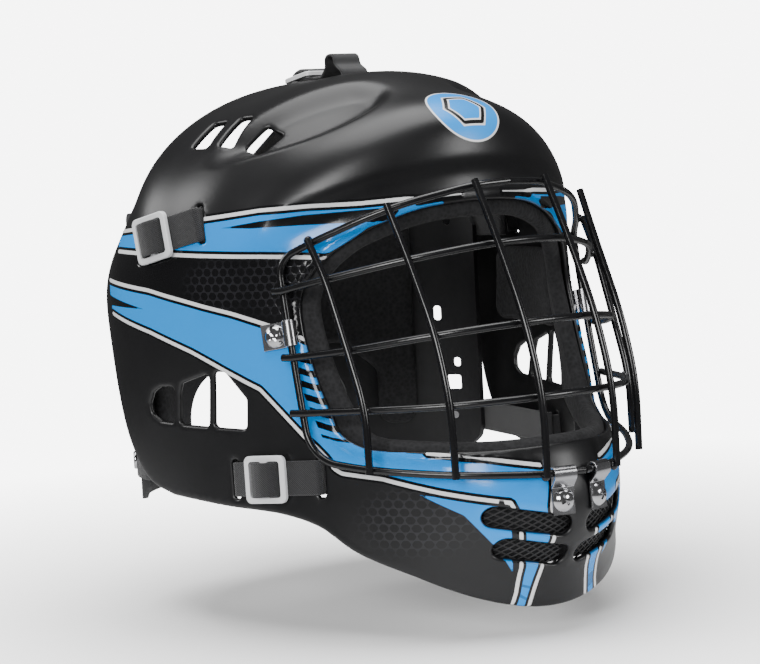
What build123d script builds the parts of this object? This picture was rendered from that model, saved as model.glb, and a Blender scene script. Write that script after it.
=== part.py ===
from build123d import *
import math
import os
import numpy as np

# Street and floor hockey goalie mask: a moulded face shell with a welded wire cage, foam lining,
# and a floating back plate held by five adjustable web straps.
# Frame: X to the wearer's left, -Y to the front, +Z up, origin at the middle of the wearer's head.
# Millimetres.

# ---------------------------------------------------------------- driving dimensions
SHELL_THICKNESS = 3.0
LINER_THICKNESS = 8.0
WIRE_DIAMETER = 3.4
WEB_WIDTH = 16.0
WEB_THICKNESS = 1.4
SLOT_CLEARANCE = 1.0
CLIP_THICKNESS = 1.2
SCREW_DIAMETER = 5.0
SCREW_HEAD_DIAMETER = 10.5
BUCKLE_LENGTH = 22.0
BUCKLE_WIDTH = 22.0
BUCKLE_BAR = 2.6
BUCKLE_THICKNESS = 2.2
PLATE_HALF_WIDTH = 105.0
PLATE_DEPTH = 60.0
PLATE_FRONT = 72.0
PLATE_THICKNESS = 2.5

# ---------------------------------------------------------------- the skin of the face shell
# The skin is an ellipse across the mask at every place of a side profile. The profile is a closed
# smooth curve round SKIN_CENTRE, and the half width is a short polynomial of the place.
SKIN_CENTRE = np.array([0.0, 20.0, -10.0])
SIDE_PROFILE = [
    (-106, -135), (-118, -115), (-127, -93), (-119, -60), (-99, -20), (-79, 14), (-70, 39),
    (-67, 59), (-61, 84), (-34, 97), (-5, 107), (40, 107), (82, 101), (106, 80), (127, 55),
    (140, 23), (140, -20), (132, -71), (106, -128), (41, -185), (-66, -199)]


def closed_spline(knots, values):
    """A periodic cubic spline through values at rising angles; returns a function of the angle."""
    count = len(knots)
    gaps = np.diff(np.append(knots, knots[0] + 2 * np.pi))
    steps = (np.roll(values, -1) - values) / gaps
    matrix = np.zeros((count, count))
    for i in range(count):
        matrix[i, i - 1] = gaps[i - 1]
        matrix[i, i] = 2 * (gaps[i - 1] + gaps[i])
        matrix[i, (i + 1) % count] += gaps[i]
    bend = np.linalg.solve(matrix, 6 * (steps - np.roll(steps, 1)))

    def value(angle):
        wrapped = knots[0] + np.mod(angle - knots[0], 2 * np.pi)
        i = np.clip(np.searchsorted(knots, wrapped, side="right") - 1, 0, count - 1)
        j = (i + 1) % count
        t = wrapped - knots[i]
        rest = gaps[i] - t
        curve = (bend[i] * rest ** 3 + bend[j] * t ** 3) / (6 * gaps[i])
        line = (values[i] / gaps[i] - bend[i] * gaps[i] / 6) * rest
        return curve + line + (values[j] / gaps[i] - bend[j] * gaps[i] / 6) * t
    return value


def profile_radius():
    points = np.array(SIDE_PROFILE, float) - SKIN_CENTRE[1:]
    angles = np.unwrap(np.arctan2(points[:, 1], -points[:, 0]))
    return closed_spline(angles, np.hypot(points[:, 0], points[:, 1]))


radius_at = profile_radius()


def half_width(y, z):
    v = np.clip(y - SKIN_CENTRE[1], -150, 120) / 100
    w = np.clip(z - SKIN_CENTRE[2], -150, 125) / 100
    return (110 + 34 * v + 6 * v ** 2 + 7 * v ** 3 + (11 - 5 * v - 17 * v ** 2) * w
            + (18 + v) * w ** 2 - 8 * w ** 3)


def inside_value(points):
    """Below 1 inside the plain skin, above 1 outside."""
    y = points[..., 1] - SKIN_CENTRE[1]
    z = points[..., 2] - SKIN_CENTRE[2]
    reach = np.hypot(y, z) / radius_at(np.arctan2(z, -y))
    return (points[..., 0] / half_width(points[..., 1], points[..., 2])) ** 2 + reach ** 2


def ramp(value):
    """A smooth step from 0 to 1."""
    t = np.clip(value, 0, 1)
    return t * t * (3 - 2 * t)


def relief(points):
    """Moulded relief, outward: scoops on the crown, the recess under the brow and the chin flare."""
    x, y, z = np.abs(points[..., 0]), points[..., 1], points[..., 2]
    bank = np.degrees(np.arctan2(x, np.maximum(z, 1)))
    front_lip = -36 + 0.045 * (bank - 24) ** 2
    spine_lip = -5 + 0.85 * (bank - 16)
    scoop = ramp((y - front_lip) / 9) * ramp((spine_lip - y) / 16)
    scoop = scoop * ramp((bank - 9) / 10) * ramp((56 - bank) / 10) * ramp((z - 40) / 20)
    brow = 67.5 - 0.0026 * x ** 2
    recess = ramp((brow - z) / 8) * ramp((z - brow + 28) / 16) * ramp((-15 - y) / 20)
    flare = ramp((-118 - z) / 22) * ramp((-40 - y) / 30)
    return -5.0 * scoop - 2.5 * recess + 4.5 * flare


def skin(theta, psi):
    """Outer skin point. theta opens from straight ahead, psi turns from the top to the right side."""
    way = np.stack([-np.sin(theta) * np.sin(psi), -np.cos(theta) + 0 * psi,
                    np.sin(theta) * np.cos(psi)], -1)
    low = np.zeros(way.shape[:-1])
    high = np.full(way.shape[:-1], 260.0)
    for _ in range(40):
        middle = (low + high) / 2
        within = inside_value(SKIN_CENTRE + way * middle[..., None]) < 1
        low = np.where(within, middle, low)
        high = np.where(within, high, middle)
    points = SKIN_CENTRE + way * low[..., None]
    return points + way * relief(points)[..., None]


def skin_normal(theta, psi):
    step = 0.004
    along = skin(theta + step, psi) - skin(theta - step, psi)
    around = skin(theta, psi + step) - skin(theta, psi - step)
    normal = np.cross(along, around)
    return normal / np.linalg.norm(normal, axis=-1, keepdims=True)


def on_skin(inner, outer):
    """Where the straight line from a point inside to a point outside leaves the outer skin."""
    inner, outer = np.array(inner, float), np.array(outer, float)
    low, high = 0.0, 1.0
    for _ in range(40):
        middle = (low + high) / 2
        way = inner + (outer - inner) * middle - SKIN_CENTRE
        theta = np.arccos(-way[1] / np.linalg.norm(way))
        psi = np.arctan2(-way[0], way[2])
        if np.linalg.norm(way) < np.linalg.norm(skin(theta, psi) - SKIN_CENTRE):
            low = middle
        else:
            high = middle
    normal = skin_normal(theta, psi)
    return skin(theta, psi), normal


THETA_GRID = np.radians(np.linspace(14, 128, 22))
PSI_GRID = np.radians(np.linspace(-4, 184, 26))


def layer(outer, inner, rows=(0, 22), columns=(0, 26)):
    """Half a skin layer, on the wearer's right side, between two depths under the outer skin.

    All layers are drawn through the same grid of directions, so they nest without touching."""
    sections = []
    theta = THETA_GRID[slice(*rows)]
    for psi in PSI_GRID[slice(*columns)]:
        turn = np.full(len(theta), psi)
        points = skin(theta, turn)
        way = points - SKIN_CENTRE
        way = way / np.linalg.norm(way, axis=1, keepdims=True)
        slant = np.maximum(np.sum(way * skin_normal(theta, turn), axis=1, keepdims=True), 0.4)
        top = [Vector(*map(float, p)) for p in points - way * outer / slant]
        bottom = [Vector(*map(float, p)) for p in points - way * inner / slant]
        sections.append(Wire([Edge.make_spline(top), Edge.make_line(top[-1], bottom[-1]),
                              Edge.make_spline(bottom[::-1]), Edge.make_line(bottom[0], top[0])]))
    return Solid.make_loft(sections)


RIGHT_SIDE = Box(200, 500, 500, align=(Align.MAX, Align.CENTER, Align.CENTER))
FRONT_SIDE = Box(500, 200, 500, align=(Align.CENTER, Align.MAX, Align.CENTER))


def both(half):
    return half + mirror(half, Plane.YZ)


def side_prism(outline):
    """A prism through the whole mask from an outline in side view (y, z)."""
    return extrude(Plane.YZ * outline, 150, both=True)


def front_prism(outline, depth=200):
    """A prism from far in front of the mask to its middle, from an outline in front view (x, z)."""
    return extrude(Plane.XZ * outline, depth)


# ---------------------------------------------------------------- outlines
# Side view of the shell's rear and bottom edges, as (y, z).
REAR_EDGE = [(66, 52), (77, 34), (89, 12), (89, -10), (83, -42), (75, -66), (62, -83), (44, -89)]
BOTTOM_EDGE = [(44, -89), (8, -91.5), (-24, -93.5), (-42, -98.5), (-58, -109), (-84, -122), (-104, -135),
               (-112, -143)]
FAR = 160.0


def shell_side_outline():
    rear = Spline(*REAR_EDGE)
    bottom = Spline(*BOTTOM_EDGE, tangents=[(-1, -0.06), (-1, -0.9)])
    rest = Polyline(BOTTOM_EDGE[-1], (-FAR, -FAR), (-FAR, FAR), (95, FAR), (95, 52), REAR_EDGE[0])
    return make_face([rear, bottom, rest])


def crown_plan_cut():
    """Plan view of what is missing behind the crown, beside the tongue that holds the top strap."""
    tongue = 24.0
    edge = Spline((-44, 66), (-36, 70), (-tongue - 4, 86), (-14, 92), (0, 93), (14, 92),
                  (tongue + 4, 86), (36, 70), (44, 66), tangents=[(1, 0), (1, 0)])
    rest = Polyline((44, 66), (FAR, 66), (FAR, FAR), (-FAR, FAR), (-FAR, 66), (-44, 66))
    return Pos(0, 0, 50) * extrude(make_face([edge, rest]), 80)


# Half of the face opening in front view, as (x, z), from the brow down to the chin.
OPENING = [(0, 46), (-14, 45.5), (-31, 43.5), (-47, 38.5), (-62, 30.4), (-74, 19), (-80, 7), (-81.5, -10),
           (-80.5, -29), (-78.5, -46), (-76, -57), (-70, -62.5), (-58, -63.5), (-38, -63.8), (0, -62.5)]


def opening_outline(grow=0.0):
    points = np.array(OPENING, float)
    way = np.gradient(points, axis=0)
    way[0], way[-1] = (-1, 0), (1, 0)
    way = way / np.linalg.norm(way, axis=1, keepdims=True)
    points = points + grow * np.stack([way[:, 1], -way[:, 0]], axis=1)
    left = Spline(*[tuple(map(float, point)) for point in points], tangents=[(-1, 0), (1, 0)])
    return make_face([left, mirror(left, Plane.YZ)])


SIDE_VENTS = [
    [(34, -36), (43, -36.5), (49, -39.5), (52.5, -45), (51.5, -50), (46, -53), (37, -53.5)],
    [(12, -29), (29, -34.5), (31, -39), (33.5, -54), (15.5, -54.5)],
    [(9, -28.5), (3.5, -28.5), (-6.5, -41), (-5.5, -55), (12, -54.5)],
]
# Crown vents in a plane laid on the crown beside the spine: (forward, up).
CROWN_VENTS = [
    [(-25, -11), (-27, 7.5), (-18, 9.5), (-13.5, -10)],
    [(-6.5, -8.5), (-9.5, 11.8), (0, 12.6), (1, -7)],
    [(6.5, -5.2), (10, 10.2), (20, 9), (16.5, -5.5)],
]
CROWN_PLANE = Plane(origin=(-80, 15, 81), x_dir=(0, -1, 0), z_dir=(-0.66, 0, 0.75))
MOUTH_SLOTS = [((-36.5, -93.5), (-9, -99.5), 9.5), ((-31.5, -108.5), (-7, -114), 9.5)]


def side_vent_cutters():
    cutters = []
    for corners in SIDE_VENTS:
        face = fillet(make_face(Polyline(*corners, close=True)).vertices(), 1.8)
        cutters.append(extrude(Plane.YZ * face, -150))
    return cutters


def crown_vent_cutters():
    cutters = []
    for corners in CROWN_VENTS:
        face = fillet(make_face(Polyline(*corners, close=True)).vertices(), 1.2)
        cutters.append(extrude(CROWN_PLANE * face, 22, both=True))
    return cutters


def mouth_slot_cutters():
    cutters = []
    for start, end, height in MOUTH_SLOTS:
        middle = ((start[0] + end[0]) / 2, (start[1] + end[1]) / 2)
        angle = math.degrees(math.atan2(end[1] - start[1], end[0] - start[0]))
        length = math.dist(start, end)
        face = Pos(*middle) * Rot(0, 0, angle) * SlotCenterToCenter(length, height)
        cutters.append(front_prism(face))
    return cutters


# ---------------------------------------------------------------- strap stations
def skin_xyz(inner, outer):
    point, _ = on_skin(inner, outer)
    return tuple(float(value) for value in point)


def side_slot(y, z):
    return skin_xyz((-20, y, z), (-160, y, z))


def station(front, rear, across):
    """A frame on the skin between two strap slots: local x runs from the front slot to the rear."""
    way = Vector(*rear) - Vector(*front)
    middle = (Vector(*front) + Vector(*rear)) * 0.5
    outward = Vector(*across).cross(way).normalized()
    return Plane(origin=middle, x_dir=way.normalized(), z_dir=outward)


def skin_height(frame, along, across=0.0):
    """Local height of the skin above the station frame."""
    inner = frame.from_local_coords(Vector(along, across, -45))
    outer = frame.from_local_coords(Vector(along, across, 45))
    return frame.to_local_coords(Vector(*skin_xyz(tuple(inner), tuple(outer)))).Z


def web_height(frame, along):
    """Centre height of webbing that lies on the skin."""
    heights = [skin_height(frame, along, side) for side in (-WEB_WIDTH / 2, 0, WEB_WIDTH / 2)]
    return max(heights) + 0.15 + WEB_THICKNESS / 2


UPPER_SLOTS = (side_slot(12, 40.5), side_slot(51, 31))
LOWER_SLOTS = (side_slot(-42, -76), side_slot(1, -78.5))
TOP_SLOTS = (skin_xyz((0, 30, 40), (0, 30, 160)), skin_xyz((0, 86, 40), (0, 86, 160)))
STATIONS = {
    "upper": (station(*UPPER_SLOTS, (0, 0.24, 0.97)), math.dist(*UPPER_SLOTS), 6.0),
    "lower": (station(*LOWER_SLOTS, (0, 0.12, 0.99)), math.dist(*LOWER_SLOTS), 4.0),
    "top": (station(*TOP_SLOTS, (1, 0, 0)), math.dist(*TOP_SLOTS), 8.0),
}
BUCKLE_TRAVEL = {"upper": -10.0, "lower": -10.0, "top": 7.0}


def slot_cutters(name, grow=0.0):
    frame, span, _ = STATIONS[name]
    size = (WEB_THICKNESS + 2 * SLOT_CLEARANCE + 2 * grow, WEB_WIDTH + 2 + 2 * grow, 26)
    return [frame * Pos(side * span / 2, 0, skin_height(frame, side * span / 2)) * Box(*size)
            for side in (-1, 1)]


def band(points, thickness, width, radius):
    """A flat band swept along a filleted path in the local XZ plane."""
    path = FilletPolyline(*[(u, 0, n) for u, n in points], radius=radius)
    start = Plane(origin=path @ 0, z_dir=path % 0, x_dir=(0, 1, 0))
    return sweep(start * Rectangle(width, thickness), path=path)


def lying_web(frame, start, end, count):
    """Path points of webbing that lies on the skin."""
    return [(place, web_height(frame, place)) for place in map(float, np.linspace(start, end, count))]


def outer_strap(name):
    """Webbing on the outside, from inside the front slot over the skin to inside the rear slot."""
    frame, span, _ = STATIONS[name]
    half = span / 2
    inside = SHELL_THICKNESS + 3.2
    points = lying_web(frame, -half, half, 7)
    points.insert(0, (-half, skin_height(frame, -half) - inside - 2))
    points.append((half, skin_height(frame, half) - inside))
    return frame * band(points, WEB_THICKNESS, WEB_WIDTH, 1.1)


def looped_top_strap():
    """The top strap stands up in a loop between its front slot and its buckle."""
    frame, span, _ = STATIONS["top"]
    half = span / 2
    rise = web_height(frame, -half)
    loop = [(-half, skin_height(frame, -half) - 7), (-half, rise + 1.5), (-half + 5, rise + 5.5),
            (-half + 5.5, rise + 11), (-half + 12.5, rise + 11.5), (-half + 13, rise + 5.5)]
    points = loop + lying_web(frame, -half + 18, half, 7) + [(half, skin_height(frame, half) - 6.2)]
    radii = [3, 4, 3.4, 3.4, 5] + [1.6] * 7
    path = FilletPolyline(*[(u, 0, n) for u, n in points], radius=radii)
    start = Plane(origin=path @ 0, z_dir=path % 0, x_dir=(0, 1, 0))
    return frame * sweep(start * Rectangle(WEB_WIDTH, WEB_THICKNESS), path=path)


def buckle_base(name):
    """Local height of the buckle's underside, clear of the webbing under it over its travel."""
    frame, _, along = STATIONS[name]
    reach = BUCKLE_LENGTH / 2
    ends = [along - reach, along + reach]
    ends[BUCKLE_TRAVEL[name] > 0] += BUCKLE_TRAVEL[name]
    heights = [web_height(frame, place) for place in np.linspace(*ends, 7)]
    return max(heights) + WEB_THICKNESS / 2 + 0.3


def buckle(name):
    frame, _, along = STATIONS[name]
    outline = RectangleRounded(BUCKLE_LENGTH, BUCKLE_WIDTH, 3)
    bay = (BUCKLE_LENGTH - 3 * BUCKLE_BAR) / 2
    window = RectangleRounded(bay, BUCKLE_WIDTH - 2 * BUCKLE_BAR, 1.5)
    shift = (bay + BUCKLE_BAR) / 2
    outline = outline - Pos(shift, 0) * window - Pos(-shift, 0) * window
    body = extrude(outline, BUCKLE_THICKNESS)
    rim = [edge for edge in body.edges().filter_by(GeomType.LINE) if edge.length > BUCKLE_WIDTH * 0.7]
    body = chamfer(ShapeList(rim).filter_by(Axis.Y).group_by(Axis.Z)[-1], 0.5)
    return frame * Pos(along, 0, buckle_base(name)) * body


def strap_fold(name):
    """The turn of webbing over the buckle's centre bar; it travels with the buckle."""
    frame, _, along = STATIONS[name]
    base = buckle_base(name) + WEB_THICKNESS / 2
    top = BUCKLE_THICKNESS + WEB_THICKNESS / 2 + 0.1
    foot = BUCKLE_LENGTH / 2 - BUCKLE_BAR - WEB_THICKNESS / 2 - 0.3
    points = [(along - foot, base), (along - foot + 2.2, base + top), (along + foot - 2.2, base + top),
              (along + foot, base)]
    return frame * band(points, WEB_THICKNESS, WEB_WIDTH, 1.4)


# ---------------------------------------------------------------- back plate
def plate_side(y, stand_off=0.0):
    """Right-hand point of the plate's outer face in plan at depth y, and its outward normal."""
    turn = math.asin((y - PLATE_FRONT) / PLATE_DEPTH)
    point = Vector(-PLATE_HALF_WIDTH * math.cos(turn), y, 0)
    normal = Vector(-math.cos(turn) / PLATE_HALF_WIDTH, math.sin(turn) / PLATE_DEPTH, 0)
    normal = normal.normalized()
    return point + normal * stand_off, normal


def plate_ring(inset, thickness, low, high):
    """Half of an elliptic wall behind the head between two heights."""
    outer = Ellipse(PLATE_HALF_WIDTH - inset, PLATE_DEPTH - inset)
    inner = Ellipse(PLATE_HALF_WIDTH - inset - thickness, PLATE_DEPTH - inset - thickness)
    front = Pos(0, -150) * Rectangle(400, 300)
    return Pos(0, PLATE_FRONT, low) * extrude(outer - inner - front, high - low)


PLATE_OUTLINE = [(70, 24), (80, 38), (98, 45), (150, 45), (150, -96), (84, -96), (74, -88), (70, -76)]
PLATE_SLOTS = [(97, -21, 8, 4.5), (90, -59, 8, 9), (88, -48, 5, 5)]
NECK_HALF_WIDTH = 50.0
NECK_TOP = -42.0
RIVETS = [("upper", 90.0, 29.0), ("lower", 90.0, -77.0)]
TOP_RIVET_Z = 36.0
RIVET_SHANK = 2.0
RIVET_HOLE = 2.1


def neck_cut(grow=0.0):
    width = 2 * (NECK_HALF_WIDTH + grow)
    arch = Pos(0, NECK_TOP - 60 + grow) * RectangleRounded(width, 120, 24)
    return extrude(Plane.XZ * arch, -300)


def plate_frame(y, z):
    point, normal = plate_side(y)
    return Plane(origin=(point.X, point.Y, z), x_dir=(0, 0, 1), z_dir=normal)


def back_plate():
    half = plate_ring(0, PLATE_THICKNESS, -100, 50) & RIGHT_SIDE
    half = half & side_prism(rounded_face(PLATE_OUTLINE, 6))
    half = half - neck_cut()
    for y, z, tall, wide in PLATE_SLOTS:
        half = half - plate_frame(y, z) * extrude(RectangleRounded(tall, wide, 1.8), 8, both=True)
    for _, y, z in RIVETS:
        half = half - plate_frame(y, z) * Cylinder(RIVET_HOLE, 20)
    return both(half) - Pos(0, PLATE_FRONT + PLATE_DEPTH, TOP_RIVET_Z) * Rot(90, 0, 0) * Cylinder(RIVET_HOLE, 20)


def back_plate_pad():
    pad = plate_ring(PLATE_THICKNESS + 0.2, LINER_THICKNESS, -95, 50)
    pad = pad & side_prism(rounded_face([(88, 38), (150, 38), (150, -82), (92, -82)], 6))
    pad = pad - neck_cut(8)
    for y, z, tall, wide in PLATE_SLOTS:
        hole = plate_frame(y, z) * extrude(RectangleRounded(tall + 6, wide + 6, 3), 16, both=True)
        pad = pad - hole - mirror(hole, Plane.YZ)
    return pad


def rounded_face(points, radius):
    face = make_face(Polyline(*points, close=True))
    return fillet(face.vertices(), radius)


def rivet():
    """A flat-headed rivet along local z, its head's underside at the webbing's outer face."""
    head = Pos(0, 0, WEB_THICKNESS + 0.4) * Cylinder(4.5, 1.4, align=(Align.CENTER,) * 2 + (Align.MIN,))
    head = fillet(head.edges().group_by(Axis.Z)[-1], 0.9)
    shank = Pos(0, 0, -PLATE_THICKNESS) * Cylinder(
        RIVET_SHANK, PLATE_THICKNESS + WEB_THICKNESS + 1, align=(Align.CENTER,) * 2 + (Align.MIN,))
    return head + shank


def strap_rivets():
    pieces = []
    for _, y, z in RIVETS:
        piece = plate_frame(y, z) * rivet()
        pieces += [piece, mirror(piece, Plane.YZ)]
    top = Plane(origin=(0, PLATE_FRONT + PLATE_DEPTH, TOP_RIVET_Z), z_dir=(0, 1, 0), x_dir=(1, 0, 0))
    return pieces + [top * rivet()]


def inner_side_strap(name, y_rivet, z):
    """Webbing inside the shell, from the rear slot to the rivet on the plate's outer face."""
    slot = UPPER_SLOTS[1] if name == "upper" else LOWER_SLOTS[1]
    start = slot[0] + SHELL_THICKNESS + 4.2
    points = [(start - 0.6, slot[1] + 1.2, z), (start + 1.2, slot[1] + 3, z)]
    for y in (PLATE_FRONT + 1.5, y_rivet - 11, y_rivet - 5, y_rivet, y_rivet + 4, y_rivet + 8):
        point, _ = plate_side(y, WEB_THICKNESS / 2 + 0.4)
        points.append((point.X, point.Y, z))
    path = FilletPolyline(*points, radius=[2, 8] + [10] * 4)
    section = Plane(origin=path @ 0, z_dir=path % 0, x_dir=(0, 0, 1))
    strap = sweep(section * Rectangle(WEB_WIDTH, WEB_THICKNESS), path=path)
    return strap - plate_frame(y_rivet, z) * Cylinder(RIVET_HOLE, 20)


def inner_top_strap():
    _, y, z = TOP_SLOTS[1]
    back = PLATE_FRONT + PLATE_DEPTH + WEB_THICKNESS / 2 + 0.3
    path = FilletPolyline((0, y, z - 10.5), (0, y + 5, z - 15), (0, back, 60), (0, back, TOP_RIVET_Z - 9),
                          radius=[4, 25])
    section = Plane(origin=path @ 0, z_dir=path % 0, x_dir=(1, 0, 0))
    strap = sweep(section * Rectangle(WEB_WIDTH, WEB_THICKNESS), path=path)
    return strap - Pos(0, back, TOP_RIVET_Z) * Rot(90, 0, 0) * Cylinder(RIVET_HOLE, 20)


# ---------------------------------------------------------------- cage
# Where the uprights touch the level wires on the right side: one row of (x, y, z) per level,
# from the upper rim down to the lower rim, each from the outer upright to the middle one.
LEVELS = [
    [(-80.7, -41, 31), (-56, -68.3, 45.4), (-20, -85.9, 53.8)],
    [(-79.5, -50.8, 14.8), (-54.5, -79.7, 22.4), (-20, -99.8, 28.1)],
    [(-78, -63.6, -17.2), (-53.5, -96, -11.1), (-20, -116.7, -7.4)],
    [(-77, -73.8, -43.8), (-53.5, -104.7, -42.4), (-20, -126.4, -40.3)],
    [(-77, -74.5, -70.9), (-53, -105.3, -73.5), (-20, -127, -75)],
]
RIM_SIDE = [(-88.5, -26.5, 23), (-88.5, -34.6, -20.6), (-88.5, -44.8, -67)]
LEVEL_ENDS = [(-88.5, -29.6, 9.5), (-88.5, -34.6, -20.6), (-88.5, -39.4, -45.6)]
RIM_APEX = (0, -130, -75)
UPRIGHT_END = 0.9


def mirrored(points):
    return points + [(-x, y, z) for x, y, z in reversed(points) if x != 0]


def outward(level, column):
    """Unit normal of the cage where a level wire and an upright cross."""
    row = LEVELS[level]
    left = Vector(*row[max(column - 1, 0)])
    right = Vector(*row[min(column + 1, 2)]) if column < 2 else Vector(-row[2][0], *row[2][1:])
    above = Vector(*LEVELS[max(level - 1, 0)][column])
    below = Vector(*LEVELS[min(level + 1, 4)][column])
    return (right - left).cross(above - below).normalized()


def moved(point, normal, distance):
    return tuple(Vector(*point) + normal * distance)


def gentle_radii(points):
    """A bend radius for each inner corner that uses 0.45 of the shorter run beside it."""
    radii = []
    for before, corner, after in zip(points, points[1:], points[2:]):
        run_in, run_out = Vector(*corner) - Vector(*before), Vector(*after) - Vector(*corner)
        half_turn = math.radians(run_in.get_angle(run_out)) / 2
        radii.append(0.45 * min(run_in.length, run_out.length) / math.tan(half_turn))
    return radii


def wire(points):
    path = FilletPolyline(*points, radius=gentle_radii(points))
    return sweep(Plane(origin=path @ 0, z_dir=path % 0) * Circle(WIRE_DIAMETER / 2), path=path)


def level_points(level):
    return [moved(point, outward(level, column), -WIRE_DIAMETER / 2)
            for column, point in enumerate(LEVELS[level])]


def cage_rim():
    """The rim wire in two halves that meet at the middle of the brow and of the chin."""
    top = [(0, level_points(0)[2][1] - 1.5, level_points(0)[2][2] + 0.8)] + level_points(0)[::-1]
    half = top + RIM_SIDE + level_points(4) + [RIM_APEX]
    right = wire(half)
    return right + mirror(right, Plane.YZ)


def cage_level(level):
    x, y, z = LEVEL_ENDS[level - 1]
    over = (x - 0.9 * WIRE_DIAMETER, y - 0.66 * WIRE_DIAMETER, z)
    tip = (x - 1.4 * WIRE_DIAMETER, y + 0.4 * WIRE_DIAMETER, z)
    return wire(mirrored([tip, over] + level_points(level)))


def cage_upright(column):
    points = [moved(row[column], outward(level, column), WIRE_DIAMETER / 2)
              for level, row in enumerate(LEVELS)]
    top, low = Vector(*points[0]), Vector(*points[-1])
    lead = (top - Vector(*points[1])).normalized() * UPRIGHT_END
    tail = (low - Vector(*points[-2])).normalized() * UPRIGHT_END
    return wire([tuple(top + lead)] + points[1:-1] + [tuple(low + tail)])


# ---------------------------------------------------------------- clips and screws
def clip_frame(point, normal, wire_point, wire_way):
    """Local z off the skin, local y along the wire, local x from the screw towards the wire."""
    origin = Vector(*map(float, point))
    wire_way = Vector(*wire_way).normalized()
    off = Vector(*map(float, normal))
    off = (off - wire_way * off.dot(wire_way)).normalized()
    toward = wire_way.cross(off)
    if toward.dot(Vector(*wire_point) - origin) < 0:
        toward = toward * -1
    return Plane(origin=origin, x_dir=toward, z_dir=off)


SIDE_WIRE = (-88.5, -33.2, -12.4)
CHIN_WIRE = (-10, -127.62, -75)
SIDE_CLIP = clip_frame(*on_skin((-20, -22.6, -11.7), (-160, -22.6, -11.7)), SIDE_WIRE, (0, 0.18, 0.98))
CHIN_CLIP = clip_frame(*on_skin((-10, 0, -87.5), (-10, -170, -87.5)), CHIN_WIRE, (1, -0.237, 0))


def clip(frame, wire_point, width):
    """A bent strip: flat under the screw, then over the wire and back behind it."""
    target = frame.to_local_coords(Vector(*wire_point))
    u, n = target.X, target.Z
    around = WIRE_DIAMETER / 2 + CLIP_THICKNESS / 2 + 0.08
    flat = CLIP_THICKNESS / 2 + 0.1
    points = [(-6.5, flat), (6.0, flat), (u - around * 0.9, n + around), (u + around, n + around),
              (u + around, n - around), (u - around * 0.5, n - around)]
    radii = [1.0, around - 0.05, around - 0.02, around - 0.02]
    path = FilletPolyline(*[(a, 0, b) for a, b in points], radius=radii)
    start = Plane(origin=path @ 0, z_dir=path % 0, x_dir=(0, 1, 0))
    strip = sweep(start * RectangleRounded(width, CLIP_THICKNESS, 0.3), path=path)
    return frame * (strip - Cylinder(SCREW_DIAMETER / 2 + 0.1, 12))


def screw():
    """Truss-head screw along local z with a cross recess, its head on the clip."""
    seat = CLIP_THICKNESS + 0.12
    rise = 2.8
    ball = (SCREW_HEAD_DIAMETER ** 2 / 4 + rise ** 2) / (2 * rise)
    head = Pos(0, 0, seat + rise - ball) * Sphere(ball)
    head = head & Pos(0, 0, seat) * Cylinder(SCREW_HEAD_DIAMETER, rise * 2,
                                             align=(Align.CENTER, Align.CENTER, Align.MIN))
    for turn in (30, 120):
        head = head - Pos(0, 0, seat + rise) * Rot(0, 0, turn) * Box(5.2, 1.2, 3.2)
    shank = Pos(0, 0, seat + 0.5) * Cylinder(SCREW_DIAMETER / 2, 11,
                                             align=(Align.CENTER, Align.CENTER, Align.MAX))
    return head + shank


def nut():
    """Flanged nut on the inside of the shell."""
    top = -SHELL_THICKNESS - 1.0
    middle_up = (Align.CENTER, Align.CENTER, Align.MAX)
    flange = Pos(0, 0, top) * Cylinder(6, 1.2, align=middle_up)
    barrel = Pos(0, 0, top - 1.2) * Cylinder(4, 4.3, align=middle_up)
    return flange + barrel - Cylinder(SCREW_DIAMETER / 2, 40)


def pair(frame, piece):
    placed = frame * piece
    return [placed, mirror(placed, Plane.YZ)]


def nut_pockets():
    pocket = Pos(0, 0, -10) * Cylinder(7.5, 16)
    return pair(SIDE_CLIP, pocket) + pair(CHIN_CLIP, pocket)


def screw_holes():
    hole = Cylinder(SCREW_DIAMETER / 2 + 0.1, 24)
    return pair(SIDE_CLIP, hole) + pair(CHIN_CLIP, hole)


# ---------------------------------------------------------------- shell and lining
def cut_all(solid, cutters):
    for cutter in cutters:
        solid = solid - cutter
    return solid


def shell():
    half = layer(0, SHELL_THICKNESS) & RIGHT_SIDE & side_prism(shell_side_outline())
    half = half - crown_plan_cut() - front_prism(opening_outline())
    half = cut_all(half, side_vent_cutters() + crown_vent_cutters() + mouth_slot_cutters())
    half = cut_all(half, slot_cutters("upper") + slot_cutters("lower") + slot_cutters("top"))
    half = cut_all(half, screw_holes())
    return both(half)


def tail_pockets():
    return slot_cutters("upper", 2) + slot_cutters("lower", 2) + slot_cutters("top", 3)


def face_gasket():
    ring = opening_outline(11) - opening_outline(-5.5)
    half = layer(SHELL_THICKNESS + 0.4, SHELL_THICKNESS + LINER_THICKNESS, rows=(0, 18))
    half = half & RIGHT_SIDE & front_prism(ring, 170) & Pos(0, -14, 0) * FRONT_SIDE
    return both(cut_all(half, nut_pockets() + tail_pockets()))


def side_pad():
    region = side_prism(rounded_face([(-13.6, 16), (-13.6, -25), (62, -25), (62, 16)], 8))
    pad = layer(SHELL_THICKNESS + 0.4, SHELL_THICKNESS + LINER_THICKNESS, rows=(6, 22), columns=(7, 21))
    return cut_all(pad & region & RIGHT_SIDE, nut_pockets())


def crown_pad():
    region = Pos(0, 10) * RectangleRounded(60, 64, 18)
    half = layer(SHELL_THICKNESS + 1.5, SHELL_THICKNESS + 1.5 + LINER_THICKNESS, rows=(4, 22), columns=(0, 10))
    half = half & RIGHT_SIDE & extrude(region, 200)
    return both(cut_all(half, tail_pockets()))


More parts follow.
